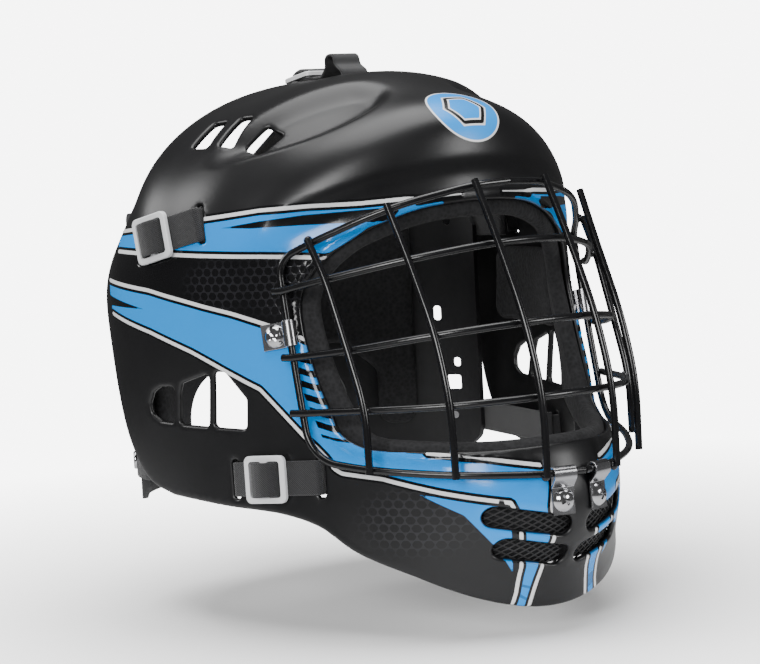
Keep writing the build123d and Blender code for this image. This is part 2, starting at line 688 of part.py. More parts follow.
def chin_pad():
    region = Plane.XZ * Pos(0, -102) * RectangleRounded(110, 42, 14)
    half = layer(SHELL_THICKNESS + 1.6, SHELL_THICKNESS + 1.6 + LINER_THICKNESS, rows=(1, 15), columns=(16, 26))
    half = half & RIGHT_SIDE & extrude(region, 160)
    return both(cut_all(half, nut_pockets()))


def mouth_mesh():
    region = front_prism(Pos(-22.5, -104) * RectangleRounded(39, 34, 6))
    mesh = layer(SHELL_THICKNESS + 0.4, SHELL_THICKNESS + 1.1, rows=(1, 14), columns=(19, 26))
    return cut_all(mesh & region & RIGHT_SIDE, nut_pockets())


# ---------------------------------------------------------------- nodes
def left(piece):
    return mirror(piece, Plane.YZ)


def build():
    nodes = {"shell": shell(), "cage_rim": cage_rim()}
    for level, name in ((1, "upper"), (2, "middle"), (3, "lower")):
        nodes[f"cage_level_{name}"] = cage_level(level)
    for column, name in enumerate(("outer", "mid", "inner")):
        nodes[f"cage_upright_{name}_right"] = cage_upright(column)
        nodes[f"cage_upright_{name}_left"] = left(nodes[f"cage_upright_{name}_right"])
    nodes["side_clip_right"] = clip(SIDE_CLIP, SIDE_WIRE, 12)
    nodes["chin_clip_right"] = clip(CHIN_CLIP, CHIN_WIRE, 11)
    nodes["side_clip_screws"] = pair(SIDE_CLIP, screw())
    nodes["chin_clip_screws"] = pair(CHIN_CLIP, screw())
    nodes["clip_nuts"] = pair(SIDE_CLIP, nut()) + pair(CHIN_CLIP, nut())
    nodes["face_gasket"] = face_gasket()
    nodes["crown_pad"] = crown_pad()
    nodes["chin_pad"] = chin_pad()
    nodes["side_pad_right"] = side_pad()
    nodes["mouth_mesh_right"] = mouth_mesh()
    nodes["back_plate"] = back_plate()
    nodes["back_plate_pad"] = back_plate_pad()
    nodes["strap_rivets"] = strap_rivets()
    nodes["strap_top"] = looped_top_strap()
    nodes["strap_inner_top"] = inner_top_strap()
    nodes["buckle_top"] = buckle("top")
    nodes["strap_fold_top"] = strap_fold("top")
    for name, y_rivet, z in RIVETS:
        nodes[f"strap_{name}_right"] = outer_strap(name)
        nodes[f"strap_inner_{name}_right"] = inner_side_strap(name, y_rivet, z)
        nodes[f"buckle_{name}_right"] = buckle(name)
        nodes[f"strap_fold_{name}_right"] = strap_fold(name)
    for name in [name for name in nodes if name.endswith("_right")]:
        twin = name.replace("_right", "_left")
        if twin not in nodes:
            nodes[twin] = left(nodes[name])
    return nodes


os.makedirs("parts", exist_ok=True)
for node, pieces in build().items():
    if isinstance(pieces, list):
        pieces = Compound(children=pieces)
    export_step(pieces, f"parts/{node}.step")
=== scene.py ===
import math

import bmesh
import bpy
import numpy as np
from mathutils import Matrix, Vector
from mathutils.geometry import delaunay_2d_cdt
from mathutils.kdtree import KDTree


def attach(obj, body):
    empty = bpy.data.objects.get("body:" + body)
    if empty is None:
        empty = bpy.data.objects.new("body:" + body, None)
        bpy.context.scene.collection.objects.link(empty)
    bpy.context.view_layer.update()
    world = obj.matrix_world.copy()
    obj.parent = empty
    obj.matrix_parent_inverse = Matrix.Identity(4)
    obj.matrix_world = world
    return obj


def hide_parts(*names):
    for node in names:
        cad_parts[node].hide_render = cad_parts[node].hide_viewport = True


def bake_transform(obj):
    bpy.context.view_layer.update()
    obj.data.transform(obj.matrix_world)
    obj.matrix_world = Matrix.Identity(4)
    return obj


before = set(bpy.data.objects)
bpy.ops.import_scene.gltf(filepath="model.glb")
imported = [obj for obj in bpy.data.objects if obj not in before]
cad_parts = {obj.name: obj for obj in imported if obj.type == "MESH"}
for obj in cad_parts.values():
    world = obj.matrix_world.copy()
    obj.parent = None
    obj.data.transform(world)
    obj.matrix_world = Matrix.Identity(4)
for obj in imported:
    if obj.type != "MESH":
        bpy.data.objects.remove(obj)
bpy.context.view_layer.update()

# A moulded goalie mask. Shapes are worked out in millimetres in the frame's own axes (X to the
# wearer's left, -Y to the front, +Z up, origin in the middle of the head) and turned into metres
# when a mesh is made.
MM = 0.001

# ---------------------------------------------------------------- driving dimensions
SHELL_THICKNESS = 3.0
WEB_WIDTH = 16.0
WEB_THICKNESS = 1.4
BUCKLE_LENGTH = 22.0
BUCKLE_BAR = 2.6
BUCKLE_THICKNESS = 2.2
PLATE_HALF_WIDTH = 105.0
PLATE_DEPTH = 60.0
PLATE_FRONT = 72.0
PLATE_THICKNESS = 2.5
PLATE_MAP_RADIUS = 85
STRIPE_WIDTH = 1.8
PINSTRIPE = 1.4

# ---------------------------------------------------------------- the skin of the face shell
SKIN_CENTRE = np.array([0.0, 20.0, -10.0])
SIDE_PROFILE = [
    (-106, -135), (-118, -115), (-127, -93), (-119, -60), (-99, -20), (-79, 14), (-70, 39),
    (-67, 59), (-61, 84), (-34, 97), (-5, 107), (40, 107), (82, 101), (106, 80), (127, 55),
    (140, 23), (140, -20), (132, -71), (106, -128), (41, -185), (-66, -199)]


def closed_spline(knots, values):
    """A periodic cubic spline through values at rising angles; returns a function of the angle."""
    count = len(knots)
    gaps = np.diff(np.append(knots, knots[0] + 2 * np.pi))
    steps = (np.roll(values, -1) - values) / gaps
    matrix = np.zeros((count, count))
    for i in range(count):
        matrix[i, i - 1] = gaps[i - 1]
        matrix[i, i] = 2 * (gaps[i - 1] + gaps[i])
        matrix[i, (i + 1) % count] += gaps[i]
    bend = np.linalg.solve(matrix, 6 * (steps - np.roll(steps, 1)))

    def value(angle):
        wrapped = knots[0] + np.mod(angle - knots[0], 2 * np.pi)
        i = np.clip(np.searchsorted(knots, wrapped, side="right") - 1, 0, count - 1)
        j = (i + 1) % count
        t = wrapped - knots[i]
        rest = gaps[i] - t
        curve = (bend[i] * rest ** 3 + bend[j] * t ** 3) / (6 * gaps[i])
        line = (values[i] / gaps[i] - bend[i] * gaps[i] / 6) * rest
        return curve + line + (values[j] / gaps[i] - bend[j] * gaps[i] / 6) * t
    return value


def profile_radius():
    points = np.array(SIDE_PROFILE, float) - SKIN_CENTRE[1:]
    angles = np.unwrap(np.arctan2(points[:, 1], -points[:, 0]))
    return closed_spline(angles, np.hypot(points[:, 0], points[:, 1]))


radius_at = profile_radius()


def half_width(y, z):
    v = np.clip(y - SKIN_CENTRE[1], -150, 120) / 100
    w = np.clip(z - SKIN_CENTRE[2], -150, 125) / 100
    return (110 + 34 * v + 6 * v ** 2 + 7 * v ** 3 + (11 - 5 * v - 17 * v ** 2) * w
            + (18 + v) * w ** 2 - 8 * w ** 3)


def inside_value(points):
    """Below 1 inside the plain skin, above 1 outside."""
    y = points[..., 1] - SKIN_CENTRE[1]
    z = points[..., 2] - SKIN_CENTRE[2]
    reach = np.hypot(y, z) / radius_at(np.arctan2(z, -y))
    return (points[..., 0] / half_width(points[..., 1], points[..., 2])) ** 2 + reach ** 2


def paired(*values):
    """The values as arrays of numbers of one shape."""
    return np.broadcast_arrays(*(np.array(value, float) for value in values))


def full_turn(count):
    """Even angles once round a circle."""
    return np.linspace(0, 2 * np.pi, count, endpoint=False)


def unit(vectors):
    return vectors / np.linalg.norm(vectors, axis=-1, keepdims=True)


def ramp(value):
    """A smooth step from 0 to 1."""
    t = np.clip(value, 0, 1)
    return t * t * (3 - 2 * t)


def relief(points):
    """Moulded relief, outward: scoops on the crown, the recess under the brow and the chin flare."""
    x, y, z = np.abs(points[..., 0]), points[..., 1], points[..., 2]
    bank = np.degrees(np.arctan2(x, np.maximum(z, 1)))
    front_lip = -36 + 0.045 * (bank - 24) ** 2
    spine_lip = -5 + 0.85 * (bank - 16)
    scoop = ramp((y - front_lip) / 9) * ramp((spine_lip - y) / 16)
    scoop = scoop * ramp((bank - 9) / 10) * ramp((56 - bank) / 10) * ramp((z - 40) / 20)
    brow = 67.5 - 0.0026 * x ** 2
    recess = ramp((brow - z) / 8) * ramp((z - brow + 28) / 16) * ramp((-15 - y) / 20)
    flare = ramp((-118 - z) / 22) * ramp((-40 - y) / 30)
    return -5.0 * scoop - 2.5 * recess + 4.5 * flare


def last_within(within, high, halvings):
    """The last value between 0 and high for which within holds."""
    low = np.zeros_like(high)
    for _ in range(halvings):
        middle = (low + high) / 2
        found = within(middle)
        low = np.where(found, middle, low)
        high = np.where(found, high, middle)
    return low


def skin(theta, psi):
    """Outer skin point. theta opens from straight ahead, psi turns from the top to the right side."""
    way = np.stack([-np.sin(theta) * np.sin(psi), -np.cos(theta) + 0 * psi,
                    np.sin(theta) * np.cos(psi)], -1)
    reach = last_within(lambda reach: inside_value(SKIN_CENTRE + way * reach[..., None]) < 1,
                        np.full(way.shape[:-1], 260.0), 34)
    points = SKIN_CENTRE + way * reach[..., None]
    return points + way * relief(points)[..., None]


def skin_normal(theta, psi):
    step = 0.004
    theta = np.maximum(theta, 2 * step)
    along = skin(theta + step, psi) - skin(theta - step, psi)
    around = skin(theta, psi + step) - skin(theta, psi - step)
    return unit(np.cross(along, around))


def angles_of(points):
    way = points - SKIN_CENTRE
    length = np.linalg.norm(way, axis=-1)
    return np.arccos(-way[..., 1] / length), np.arctan2(-way[..., 0], way[..., 2]), length


def depth_below(points):
    """How far points are below the outer skin, on the line from the skin's centre."""
    theta, psi, length = angles_of(points)
    return np.linalg.norm(skin(theta, psi) - SKIN_CENTRE, axis=-1) - length


def on_skin(inner, outer):
    """Where straight lines from points inside to points outside leave the outer skin."""
    inner, outer = paired(inner, outer)
    way = outer - inner
    share = last_within(lambda share: depth_below(inner + way * share[..., None]) > 0,
                        np.ones(inner.shape[:-1]), 26)
    return inner + way * share[..., None]


def from_front(x, z):
    x, z = paired(x, z)
    return on_skin(np.stack([x, 0 * x, z], -1), np.stack([x, 0 * x - 200, z], -1))


def from_side(y, z):
    """Points on the right side at the places (y, z) of the side view."""
    y, z = paired(y, z)
    return on_skin(np.stack([0 * y, y, z], -1), np.stack([0 * y - 200, y, z], -1))


def from_above(x, y):
    """Points on the crown at the places (x, y) of the top view."""
    below = np.stack([x, y, 0 * x + 50], -1)
    return on_skin(below, below + [0, 0, 90])


def from_axis(bearing, z):
    """Points at a bearing in degrees (0 straight ahead, rising to the right side) and a height."""
    bearing, z = paired(np.radians(bearing), z)
    inner = np.stack([0 * z, 0 * z + SKIN_CENTRE[1], z], -1)
    reach = np.stack([-200 * np.sin(bearing), -200 * np.cos(bearing), 0 * z], -1)
    return on_skin(inner, inner + reach)


# The map: the skin laid flat round the point straight ahead.
MAP_SCALE = 110.0


def to_map(points):
    theta, psi, _ = angles_of(points)
    return np.stack([MAP_SCALE * theta * np.sin(psi), MAP_SCALE * theta * np.cos(psi)], -1)


def from_map(places):
    theta = np.hypot(places[..., 0], places[..., 1]) / MAP_SCALE
    return theta, np.arctan2(places[..., 0], places[..., 1])


# ---------------------------------------------------------------- outlines
def resample(points, step, closed=True):
    """Even points along a run of straight lines."""
    points = np.array(points, float)
    if closed:
        points = np.vstack([points, points[:1]])
    along = np.append(0, np.cumsum(np.linalg.norm(np.diff(points, axis=0), axis=1)))
    count = max(int(round(along[-1] / step)), 4)
    places = np.linspace(0, along[-1], count + 1)
    places = places[:-1] if closed else places
    return np.stack([np.interp(places, along, points[:, k]) for k in range(points.shape[1])], -1)


def smooth_run(points, step, closed=False):
    """Even points along a centripetal Catmull-Rom curve through the points."""
    points = np.array(points, float)
    if closed:
        padded = np.vstack([points[-1:], points, points[:2]])
    else:
        padded = np.vstack([2 * points[0] - points[1], points, 2 * points[-1] - points[-2]])
    run = []
    for p0, p1, p2, p3 in zip(padded, padded[1:], padded[2:], padded[3:]):
        t1 = np.linalg.norm(p1 - p0) ** 0.5
        t2 = t1 + np.linalg.norm(p2 - p1) ** 0.5
        t3 = t2 + np.linalg.norm(p3 - p2) ** 0.5
        t = np.linspace(t1, t2, 12, endpoint=False)[:, None]
        a1 = (t1 - t) / t1 * p0 + t / t1 * p1
        a2 = (t2 - t) / (t2 - t1) * p1 + (t - t1) / (t2 - t1) * p2
        a3 = (t3 - t) / (t3 - t2) * p2 + (t - t2) / (t3 - t2) * p3
        b1 = (t2 - t) / t2 * a1 + t / t2 * a2
        b2 = (t3 - t) / (t3 - t1) * a2 + (t - t1) / (t3 - t1) * a3
        run.append((t2 - t) / (t2 - t1) * b1 + (t - t1) / (t2 - t1) * b2)
    run = np.vstack(run + ([] if closed else [points[-1:]]))
    return resample(run, step, closed)


STRAIGHT = 1.565


def corner_arc(before, corner, after, radius, count):
    """Points on the arc that rounds a corner, no larger than its two sides allow.

    A corner whose half angle is above STRAIGHT is kept as it is."""
    a, b = unit(before - corner), unit(after - corner)
    half = math.acos(np.clip(a @ b, -1, 1)) / 2
    if half > STRAIGHT:
        return [corner]
    shorter = min(np.linalg.norm(before - corner), np.linalg.norm(after - corner))
    reach = min(radius / math.tan(half), 0.48 * shorter)
    true_radius = reach * math.tan(half)
    middle = corner + unit(a + b) * true_radius / math.sin(half)
    first, last = corner + a * reach - middle, corner + b * reach - middle
    return [middle + unit(first * (1 - t) + last * t) * true_radius for t in np.linspace(0, 1, count)]


def rounded(points, radius, step):
    """Even points along a closed outline whose corners are arcs."""
    points = [np.array(p, float) for p in points]
    run = []
    for before, corner, after in zip([points[-1]] + points, points, points[1:] + points[:1]):
        run += corner_arc(before, corner, after, radius, 7)
    return resample(run, step)


def filleted(points, radii, step=0.5):
    """Even points along an open path whose inner corners are arcs."""
    points = np.array(points, float)
    run = [points[0]]
    for before, corner, after, radius in zip(points, points[1:], points[2:], radii):
        run += corner_arc(before, corner, after, radius, 9)
    return resample(run + [points[-1]], step, closed=False)


OPENING = [(0, 46), (-14, 45.5), (-31, 43.5), (-47, 38.5), (-62, 30.4), (-74, 19), (-80, 7), (-81.5, -10),
           (-80.5, -29), (-78.5, -46), (-76, -57), (-70, -62.5), (-58, -63.5), (-38, -63.8), (0, -62.5)]
REAR_EDGE = [(66, 52), (77, 34), (89, 12), (89, -10), (83, -42), (75, -66), (62, -83), (44, -89)]
BOTTOM_EDGE = [(44, -89), (8, -91.5), (-24, -93.5), (-42, -98.5), (-58, -109), (-84, -122), (-104, -135),
               (-112, -143)]
SIDE_VENTS = [
    [(34, -36), (43, -36.5), (49, -39.5), (52.5, -45), (51.5, -50), (46, -53), (37, -53.5)],
    [(12, -29), (29, -34.5), (31, -39), (33.5, -54), (15.5, -54.5)],
    [(9, -28.5), (3.5, -28.5), (-6.5, -41), (-5.5, -55), (12, -54.5)]]
CROWN_VENTS = [
    [(-25, -11), (-27, 7.5), (-18, 9.5), (-13.5, -10)],
    [(-6.5, -8.5), (-9.5, 11.8), (0, 12.6), (1, -7)],
    [(6.5, -5.2), (10, 10.2), (20, 9), (16.5, -5.5)]]
CROWN_ORIGIN = np.array([-80.0, 15.0, 81.0])
CROWN_OUT = np.array([-0.66, 0.0, 0.75]) / math.hypot(0.66, 0.75)
MOUTH_SLOTS = [((-36.5, -93.5), (-9, -99.5), 9.5), ((-31.5, -108.5), (-7, -114), 9.5)]


def mirrored(points):
    return np.array(points) * np.array([-1, 1, 1])


def opening_loop(grow=0.0, step=1.3):
    """The face opening on the skin, grown outward by some millimetres in front view."""
    half = np.array(OPENING, float)
    way = np.gradient(half, axis=0)
    way[0], way[-1] = (-1, 0), (1, 0)
    way = unit(way)
    half = half + grow * np.stack([way[:, 1], -way[:, 0]], axis=1)
    whole = np.vstack([half, (half * [-1, 1])[-2:0:-1]])
    run = smooth_run(whole, step, closed=True)
    return from_front(*run.T)


def border_loop(step=1.6):
    """The shell's outer border: bottom edge, rear edge, then over the crown and round the tongue."""
    bottom = smooth_run(BOTTOM_EDGE, 0.1)[::-1]
    bottom = bottom[depth_below(np.stack([0 * bottom[:, 0], *bottom.T], -1)) > 0]
    chin = np.array([[0, *bottom[0]]])
    bottom = np.vstack([chin, from_side(*bottom.T)])
    rear = smooth_run(REAR_EDGE, step)[::-1]
    rear = from_side(*rear[1:].T)
    tongue = smooth_run([(-44, 66), (-36, 70), (-28, 86), (-14, 92), (0, 93)], step)
    tongue = from_above(*tongue.T)
    climb = np.sin(np.linspace(0, np.pi / 2, 46))[1:-1]
    crown_z = REAR_EDGE[0][1] + (tongue[0, 2] - REAR_EDGE[0][1]) * climb
    crown = from_side(REAR_EDGE[0][0] + 0 * crown_z, crown_z)
    half = np.vstack([bottom[:-1], rear[:-1], crown, tongue])
    whole = np.vstack([half, mirrored(half)[-2:0:-1]])
    return resample(whole, step)


def vent_loops(step=0.9):
    """Side vents, crown vents and mouth slots on the right side, as loops on the skin."""
    runs = [rounded(corners, 2.0, step) for corners in SIDE_VENTS]
    loops = [from_side(*run.T) for run in runs]
    up = np.cross(CROWN_OUT, [0, -1, 0])
    for corners in CROWN_VENTS:
        run = rounded(corners, 1.6, step)
        places = CROWN_ORIGIN + run[:, :1] * np.array([0, -1, 0]) + run[:, 1:] * up
        loops.append(on_skin(places - CROWN_OUT * 30, places + CROWN_OUT * 30))
    for start, end, height in MOUTH_SLOTS:
        start, end = np.array(start), np.array(end)
        way = unit(end - start)
        turn = np.linspace(-np.pi / 2, np.pi / 2, 12)[:, None]
        cap = height / 2 * (way * np.cos(turn) + np.array([-way[1], way[0]]) * np.sin(turn))
        run = resample(np.vstack([end + cap, start - cap]), step)
        loops.append(from_front(*run.T))
    return loops


# ---------------------------------------------------------------- strap stations
class Station:
    """A frame on the skin between two strap slots: x from the front slot to the rear, z outward."""

    def __init__(self, front, rear, across, along):
        self.span = float(np.linalg.norm(rear - front))
        self.origin = (front + rear) / 2
        self.x = (rear - front) / self.span
        self.z = unit(np.cross(across, self.x))
        self.y = np.cross(self.z, self.x)
        self.along = along
        self.rear = rear

    def place(self, along, across, up):
        along, across, up = paired(along, across, up)
        return (self.origin + along[..., None] * self.x + across[..., None] * self.y
                + up[..., None] * self.z)

    def skin_height(self, along, across=0.0):
        hit = on_skin(self.place(along, across, -45), self.place(along, across, 45))
        return (hit - self.origin) @ self.z

    def web_height(self, along):
        heights = [self.skin_height(along, side) for side in (-WEB_WIDTH / 2, 0, WEB_WIDTH / 2)]
        return np.max(heights, axis=0) + 0.15 + WEB_THICKNESS / 2


def over_head(y):
    return on_skin([0, y, 40], [0, y, 160])


STATIONS = {
    "upper": Station(from_side(12, 40.5), from_side(51, 31), (0, 0.24, 0.97), 6.0),
    "lower": Station(from_side(-42, -76), from_side(1, -78.5), (0, 0.12, 0.99), 4.0),
    "top": Station(over_head(30), over_head(86), (1, 0, 0), 8.0)}


def slot_loops(name, step=0.9):
    station = STATIONS[name]
    loops = []
    for end in (-1, 1):
        middle = end * station.span / 2
        long_half, short_half = WEB_WIDTH / 2 + 1, WEB_THICKNESS / 2 + 1
        corners = [(middle - short_half, -long_half), (middle + short_half, -long_half),
                   (middle + short_half, long_half), (middle - short_half, long_half)]
        run = rounded(corners, 0.9, step)
        height = float(station.skin_height(middle))
        inner = station.place(run[:, 0], run[:, 1], height - 13)
        loops.append(on_skin(inner, station.place(run[:, 0], run[:, 1], height + 13)))
    return loops


def hole_loop(inner, outer, radius, step=0.7):
    """A round hole on the skin where the line from inner to outer leaves it."""
    place = to_map(on_skin(inner, outer))
    point, normal = skin_surface(place[None])
    side = unit(np.cross(normal[0], (0, 0, 1)))
    up = np.cross(side, normal[0])
    turn = full_turn(int(2 * np.pi * radius / step))[:, None]
    ring = point[0] + radius * (np.cos(turn) * side + np.sin(turn) * up)
    return on_skin(ring - 8 * normal[0], ring + 8 * normal[0])


# ---------------------------------------------------------------- meshes
def make_object(name, points, faces, attributes=None):
    """A smooth mesh object from points in millimetres; attributes are one number per vertex."""
    mesh = bpy.data.meshes.new(name)
    mesh.from_pydata((np.array(points) * MM).tolist(), [], [tuple(map(int, face)) for face in faces])
    mesh.update()
    for key, values in (attributes or {}).items():
        layer = mesh.attributes.new(key, "FLOAT", "POINT")
        layer.data.foreach_set("value", np.ascontiguousarray(values, dtype=np.float32))
    obj = bpy.data.objects.new(name, mesh)
    bpy.context.collection.objects.link(obj)
    work = bmesh.new()
    work.from_mesh(mesh)
    bmesh.ops.recalc_face_normals(work, faces=work.faces)
    work.to_mesh(mesh)
    work.free()
    for polygon in mesh.polygons:
        polygon.use_smooth = True
    return obj


def joined(parts):
    """One list of points and faces from several."""
    points, faces, start = [], [], 0
    for part_points, part_faces in parts:
        points.append(np.array(part_points))
        faces += [tuple(start + i for i in face) for face in part_faces]
        start += len(part_points)
    return np.vstack(points), faces


def skin_surface(places):
    theta, psi = from_map(places)
    return skin(theta, psi), skin_normal(theta, psi)


def plate_surface(places):
    """The back plate's outer face: arc along and height."""
    turn = places[..., 0] / PLATE_MAP_RADIUS
    point = np.stack([-PLATE_HALF_WIDTH * np.sin(turn), PLATE_FRONT + PLATE_DEPTH * np.cos(turn),
                      places[..., 1]], -1)
    normal = np.stack([-np.sin(turn) / PLATE_HALF_WIDTH, np.cos(turn) / PLATE_DEPTH, 0 * turn], -1)
    return point, unit(normal)


def plate_map(points):
    turn = np.arctan2(-points[..., 0] / PLATE_HALF_WIDTH, (points[..., 1] - PLATE_FRONT) / PLATE_DEPTH)
    return np.stack([turn * PLATE_MAP_RADIUS, points[..., 2]], -1)


def is_inside(places, loops):
    """Whether flat places are inside an odd number of closed loops."""
    inside = np.zeros(len(places), bool)
    x, y = places[:, 0], places[:, 1]
    for loop in loops:
        for (ax, ay), (bx, by) in zip(loop, np.roll(loop, -1, axis=0)):
            if ay != by:
                crosses = ((ay > y) != (by > y)) & (x < (bx - ax) * (y - ay) / (by - ay) + ax)
                inside ^= crosses
    return inside


def distance_to(points, run, closed=False):
    """Distance from every point to a run of straight lines."""
    ends = np.roll(run, -1, axis=0) if closed else run[1:]
    starts = run if closed else run[:-1]
    way = ends - starts
    size = np.maximum(np.sum(way * way, axis=1), 1e-9)
    nearest = np.full(len(points), 1e9)
    for first in range(0, len(points), 4000):
        block = points[first:first + 4000]
        offset = block[:, None] - starts[None]
        t = np.clip(np.sum(offset * way, axis=2) / size, 0, 1)
        gap = offset - t[..., None] * way
        nearest[first:first + 4000] = np.sqrt(np.min(np.sum(gap * gap, axis=2), axis=1))
    return nearest


def area(loop):
    after = np.roll(loop, -1, axis=0)
    return np.sum(loop[:, 0] * after[:, 1] - after[:, 0] * loop[:, 1]) / 2


def nearest_gap(places, others):
    """Distance from every flat place to the nearest of the others."""
    tree = KDTree(len(others))
    for i, other in enumerate(others):
        tree.insert((*other, 0), i)
    tree.balance()
    return np.array([tree.find((*place, 0))[2] for place in places])


def thinned(places, pitch):
    """One place of each small square, in the order given."""
    _, first = np.unique(np.floor(places / pitch).astype(int), axis=0, return_index=True)
    return places[np.sort(first)]


def filled(loops, spacing, guides=None):
    """Triangles that fill flat loops: extra inner places, and faces on loop places then those.

    guides are flat places that must be among the corners, so that painted edges stay crisp."""
    edge = np.vstack(loops)
    low, high = edge.min(axis=0), edge.max(axis=0)
    rows = np.arange(low[1], high[1], spacing * 0.866)
    columns = np.arange(low[0], high[0], spacing)
    grid = np.array([(x + (i % 2) * spacing / 2, y) for i, y in enumerate(rows) for x in columns])
    grid = grid[is_inside(grid, loops)]
    clear = np.min([distance_to(grid, loop, closed=True) for loop in loops], axis=0)
    grid = grid[clear > 0.6 * spacing]
    if guides is not None:
        guides = guides[is_inside(guides, loops)]
        clear = np.min([distance_to(guides, loop, closed=True) for loop in loops], axis=0)
        guides = thinned(guides[clear > 0.7], 0.55)
        grid = grid[nearest_gap(grid, guides) > 0.55 * spacing]
        grid = np.vstack([guides, grid])
    places = np.vstack([edge, grid])
    sides, start = [], 0
    for loop in loops:
        sides += [(start + i, start + (i + 1) % len(loop)) for i in range(len(loop))]
        start += len(loop)
    made, _, faces, sources, _, _ = delaunay_2d_cdt([Vector(p) for p in places], sides, [], 0, 1e-5)
    made = np.array([tuple(p) for p in made])
    faces = np.array(faces)
    faces = faces[is_inside(made[faces].mean(axis=1), loops)]
    number, extra = [], []
    for i, source in enumerate(sources):
        if source and source[0] < len(edge):
            number.append(source[0])
        else:
            number.append(len(edge) + len(extra))
            extra.append(made[i])
    return np.array(extra), np.array(number)[faces]


SKIN_WALL = (skin_surface, to_map, -1)
PLATE_WALL = (plate_surface, plate_map, 1)


def slab(loops, wall, depth_out, depth_in, spacing, back_spacing=None, turns=6, lift=None, guides=None):
    """Points and faces of a piece of a curved wall with a half-round rim along every loop.

    loops are in space, the outline first and then the holes. wall is the surface, its flat map and
    the hand of that map."""
    surface, to_flat, hand = wall
    radius = (depth_in - depth_out) / 2
    flat, rims = [], []
    for k, loop in enumerate(loops):
        place = to_flat(loop)
        if (area(place) > 0) != (k == 0):
            loop, place = loop[::-1], place[::-1]
        point, normal = surface(place)
        along = unit(np.roll(point, -1, axis=0) - np.roll(point, 1, axis=0))
        out = hand * np.cross(along, normal)
        place = to_flat(point - radius * out)
        base, normal = surface(place)
        flat.append(place)
        middle = base - normal * (depth_out + radius)
        rims.append([middle + radius * (math.cos(a) * normal + math.sin(a) * out)
                     for a in np.linspace(0, np.pi, turns + 1)])
    edge_count = sum(len(place) for place in flat)
    rings = [np.vstack([rim[k] for rim in rims]) for k in range(turns + 1)]
    extra, front = filled(flat, spacing, guides)
    back_extra, back = filled(flat, back_spacing or spacing)
    front_base, front_normal = surface(extra)
    raised = 0 if lift is None else lift(front_base)[:, None]
    front_points = front_base - front_normal * (depth_out - raised)
    back_base, back_normal = surface(back_extra)
    back_points = back_base - back_normal * depth_in
    points = np.vstack([rings[0], front_points] + rings[1:] + [back_points])
    faces = [tuple(face) for face in front]
    first = edge_count + len(front_points)
    offsets = [0] + [first + k * edge_count for k in range(turns)]
    start = 0
    for place in flat:
        count = len(place)
        for low, high in zip(offsets, offsets[1:]):
            for i in range(count):
                j = (i + 1) % count
                faces.append((low + start + i, low + start + j, high + start + j, high + start + i))
        start += count
    back_first = first + turns * edge_count
    number = np.concatenate([np.arange(edge_count) + offsets[-1],
                             np.arange(len(back_points)) + back_first])
    faces += [tuple(number[list(face)][::-1]) for face in back]
    return points, faces


def around_box(middle, size, radius, step):
    """A rounded rectangle as an even run."""
    (x, y), (wide, tall) = middle, (size[0] / 2, size[1] / 2)
    return rounded([(x - wide, y - tall), (x + wide, y - tall), (x + wide, y + tall), (x - wide, y + tall)],
                   radius, step)


def ring_faces(rows, count):
    """Faces between rings of points, with a cap at each end."""
    faces = [(i * count + k, i * count + (k + 1) % count, (i + 1) * count + (k + 1) % count,
              (i + 1) * count + k) for i in range(rows - 1) for k in range(count)]
    last = (rows - 1) * count
    return faces + [tuple(range(count))[::-1], tuple(range(last, last + count))]


def tube(path, radius, sides):
    """Points and faces of a round rod along an open path."""
    way = unit(np.gradient(path, axis=0))
    side = unit(np.cross(way, (0.3, 0.1, 1.0)))
    up = np.cross(way, side)
    turn = full_turn(sides)[None, :, None]
    rings = path[:, None] + radius * (np.cos(turn) * side[:, None] + np.sin(turn) * up[:, None])
    return rings.reshape(-1, 3), ring_faces(len(path), sides)


def web(name, path, across):
    """Webbing along a path: a flat band with rounded edges that carries its own weave places."""
    across = unit(np.broadcast_to(np.array(across, float), path.shape))
    off = unit(np.cross(unit(np.gradient(path, axis=0)), across))
    half, thick = WEB_WIDTH / 2, WEB_THICKNESS / 2
    turn = np.linspace(0, np.pi, 5)
    flat = np.linspace(-half + thick, half - thick, 15)
    edge = [(half - thick + thick * math.sin(a), thick * math.cos(a)) for a in turn]
    section = [(w, thick) for w in flat[:-1]] + edge
    section += [(-w, -thick) for w in flat[1:-1]] + [(-w, -n) for w, n in edge[:-1]]
    section = np.array(section)
    rings = path[:, None] + section[None, :, :1] * across[:, None] + section[None, :, 1:] * off[:, None]
    along = np.append(0, np.cumsum(np.linalg.norm(np.diff(path, axis=0), axis=1)))
    places = {"web_along": np.repeat(along, len(section)), "web_across": np.tile(section[:, 0], len(path))}
    return make_object(name, rings.reshape(-1, 3), ring_faces(len(path), len(section)), places)


# ---------------------------------------------------------------- painted bands on the shell
# Every line is (bearing, height): degrees from straight ahead towards the right side, millimetres.
UPPER_TOP = [(118, 37), (99, 40), (84, 43), (68, 46), (54, 47), (40, 47), (26, 48)]
UPPER_LOW = [(115, 28), (97, 27), (85, 26), (68, 25), (57, 24), (49, 23)]
UPPER_TIP = [(49, 23), (42, 29), (37, 34), (31, 37)]
MIDDLE_TOP = [(118, 14), (101, 10), (90, 5), (77, -1), (66, -7), (58, -12), (53, -16)]
MIDDLE_LOW = [(116, -2), (102, -10), (90, -19), (80, -28), (74, -33), (70, -36), (57, -58), (54, -62),
              (51, -67), (49, -72), (47, -74), (37, -76), (29, -80), (25, -82), (18, -85), (13, -87)]
CHIN_OUTER = [(13, -87), (11.5, -95), (11, -104), (10, -118), (10.5, -130), (12, -142)]
CHIN_INNER = [(5, -76), (6, -90), (5, -104), (6, -122), (8, -142)]
UNDER_OPENING = [(46, -62), (40, -63), (26, -65), (17, -68), (6, -73)]
UNDER_STRIPE = [(27, -64.5), (16, -67.5), (7, -71.5)]
UPPER_BLUE = UPPER_TOP + [(22, 44), (26, 38)] + UPPER_TIP[::-1] + UPPER_LOW[::-1]
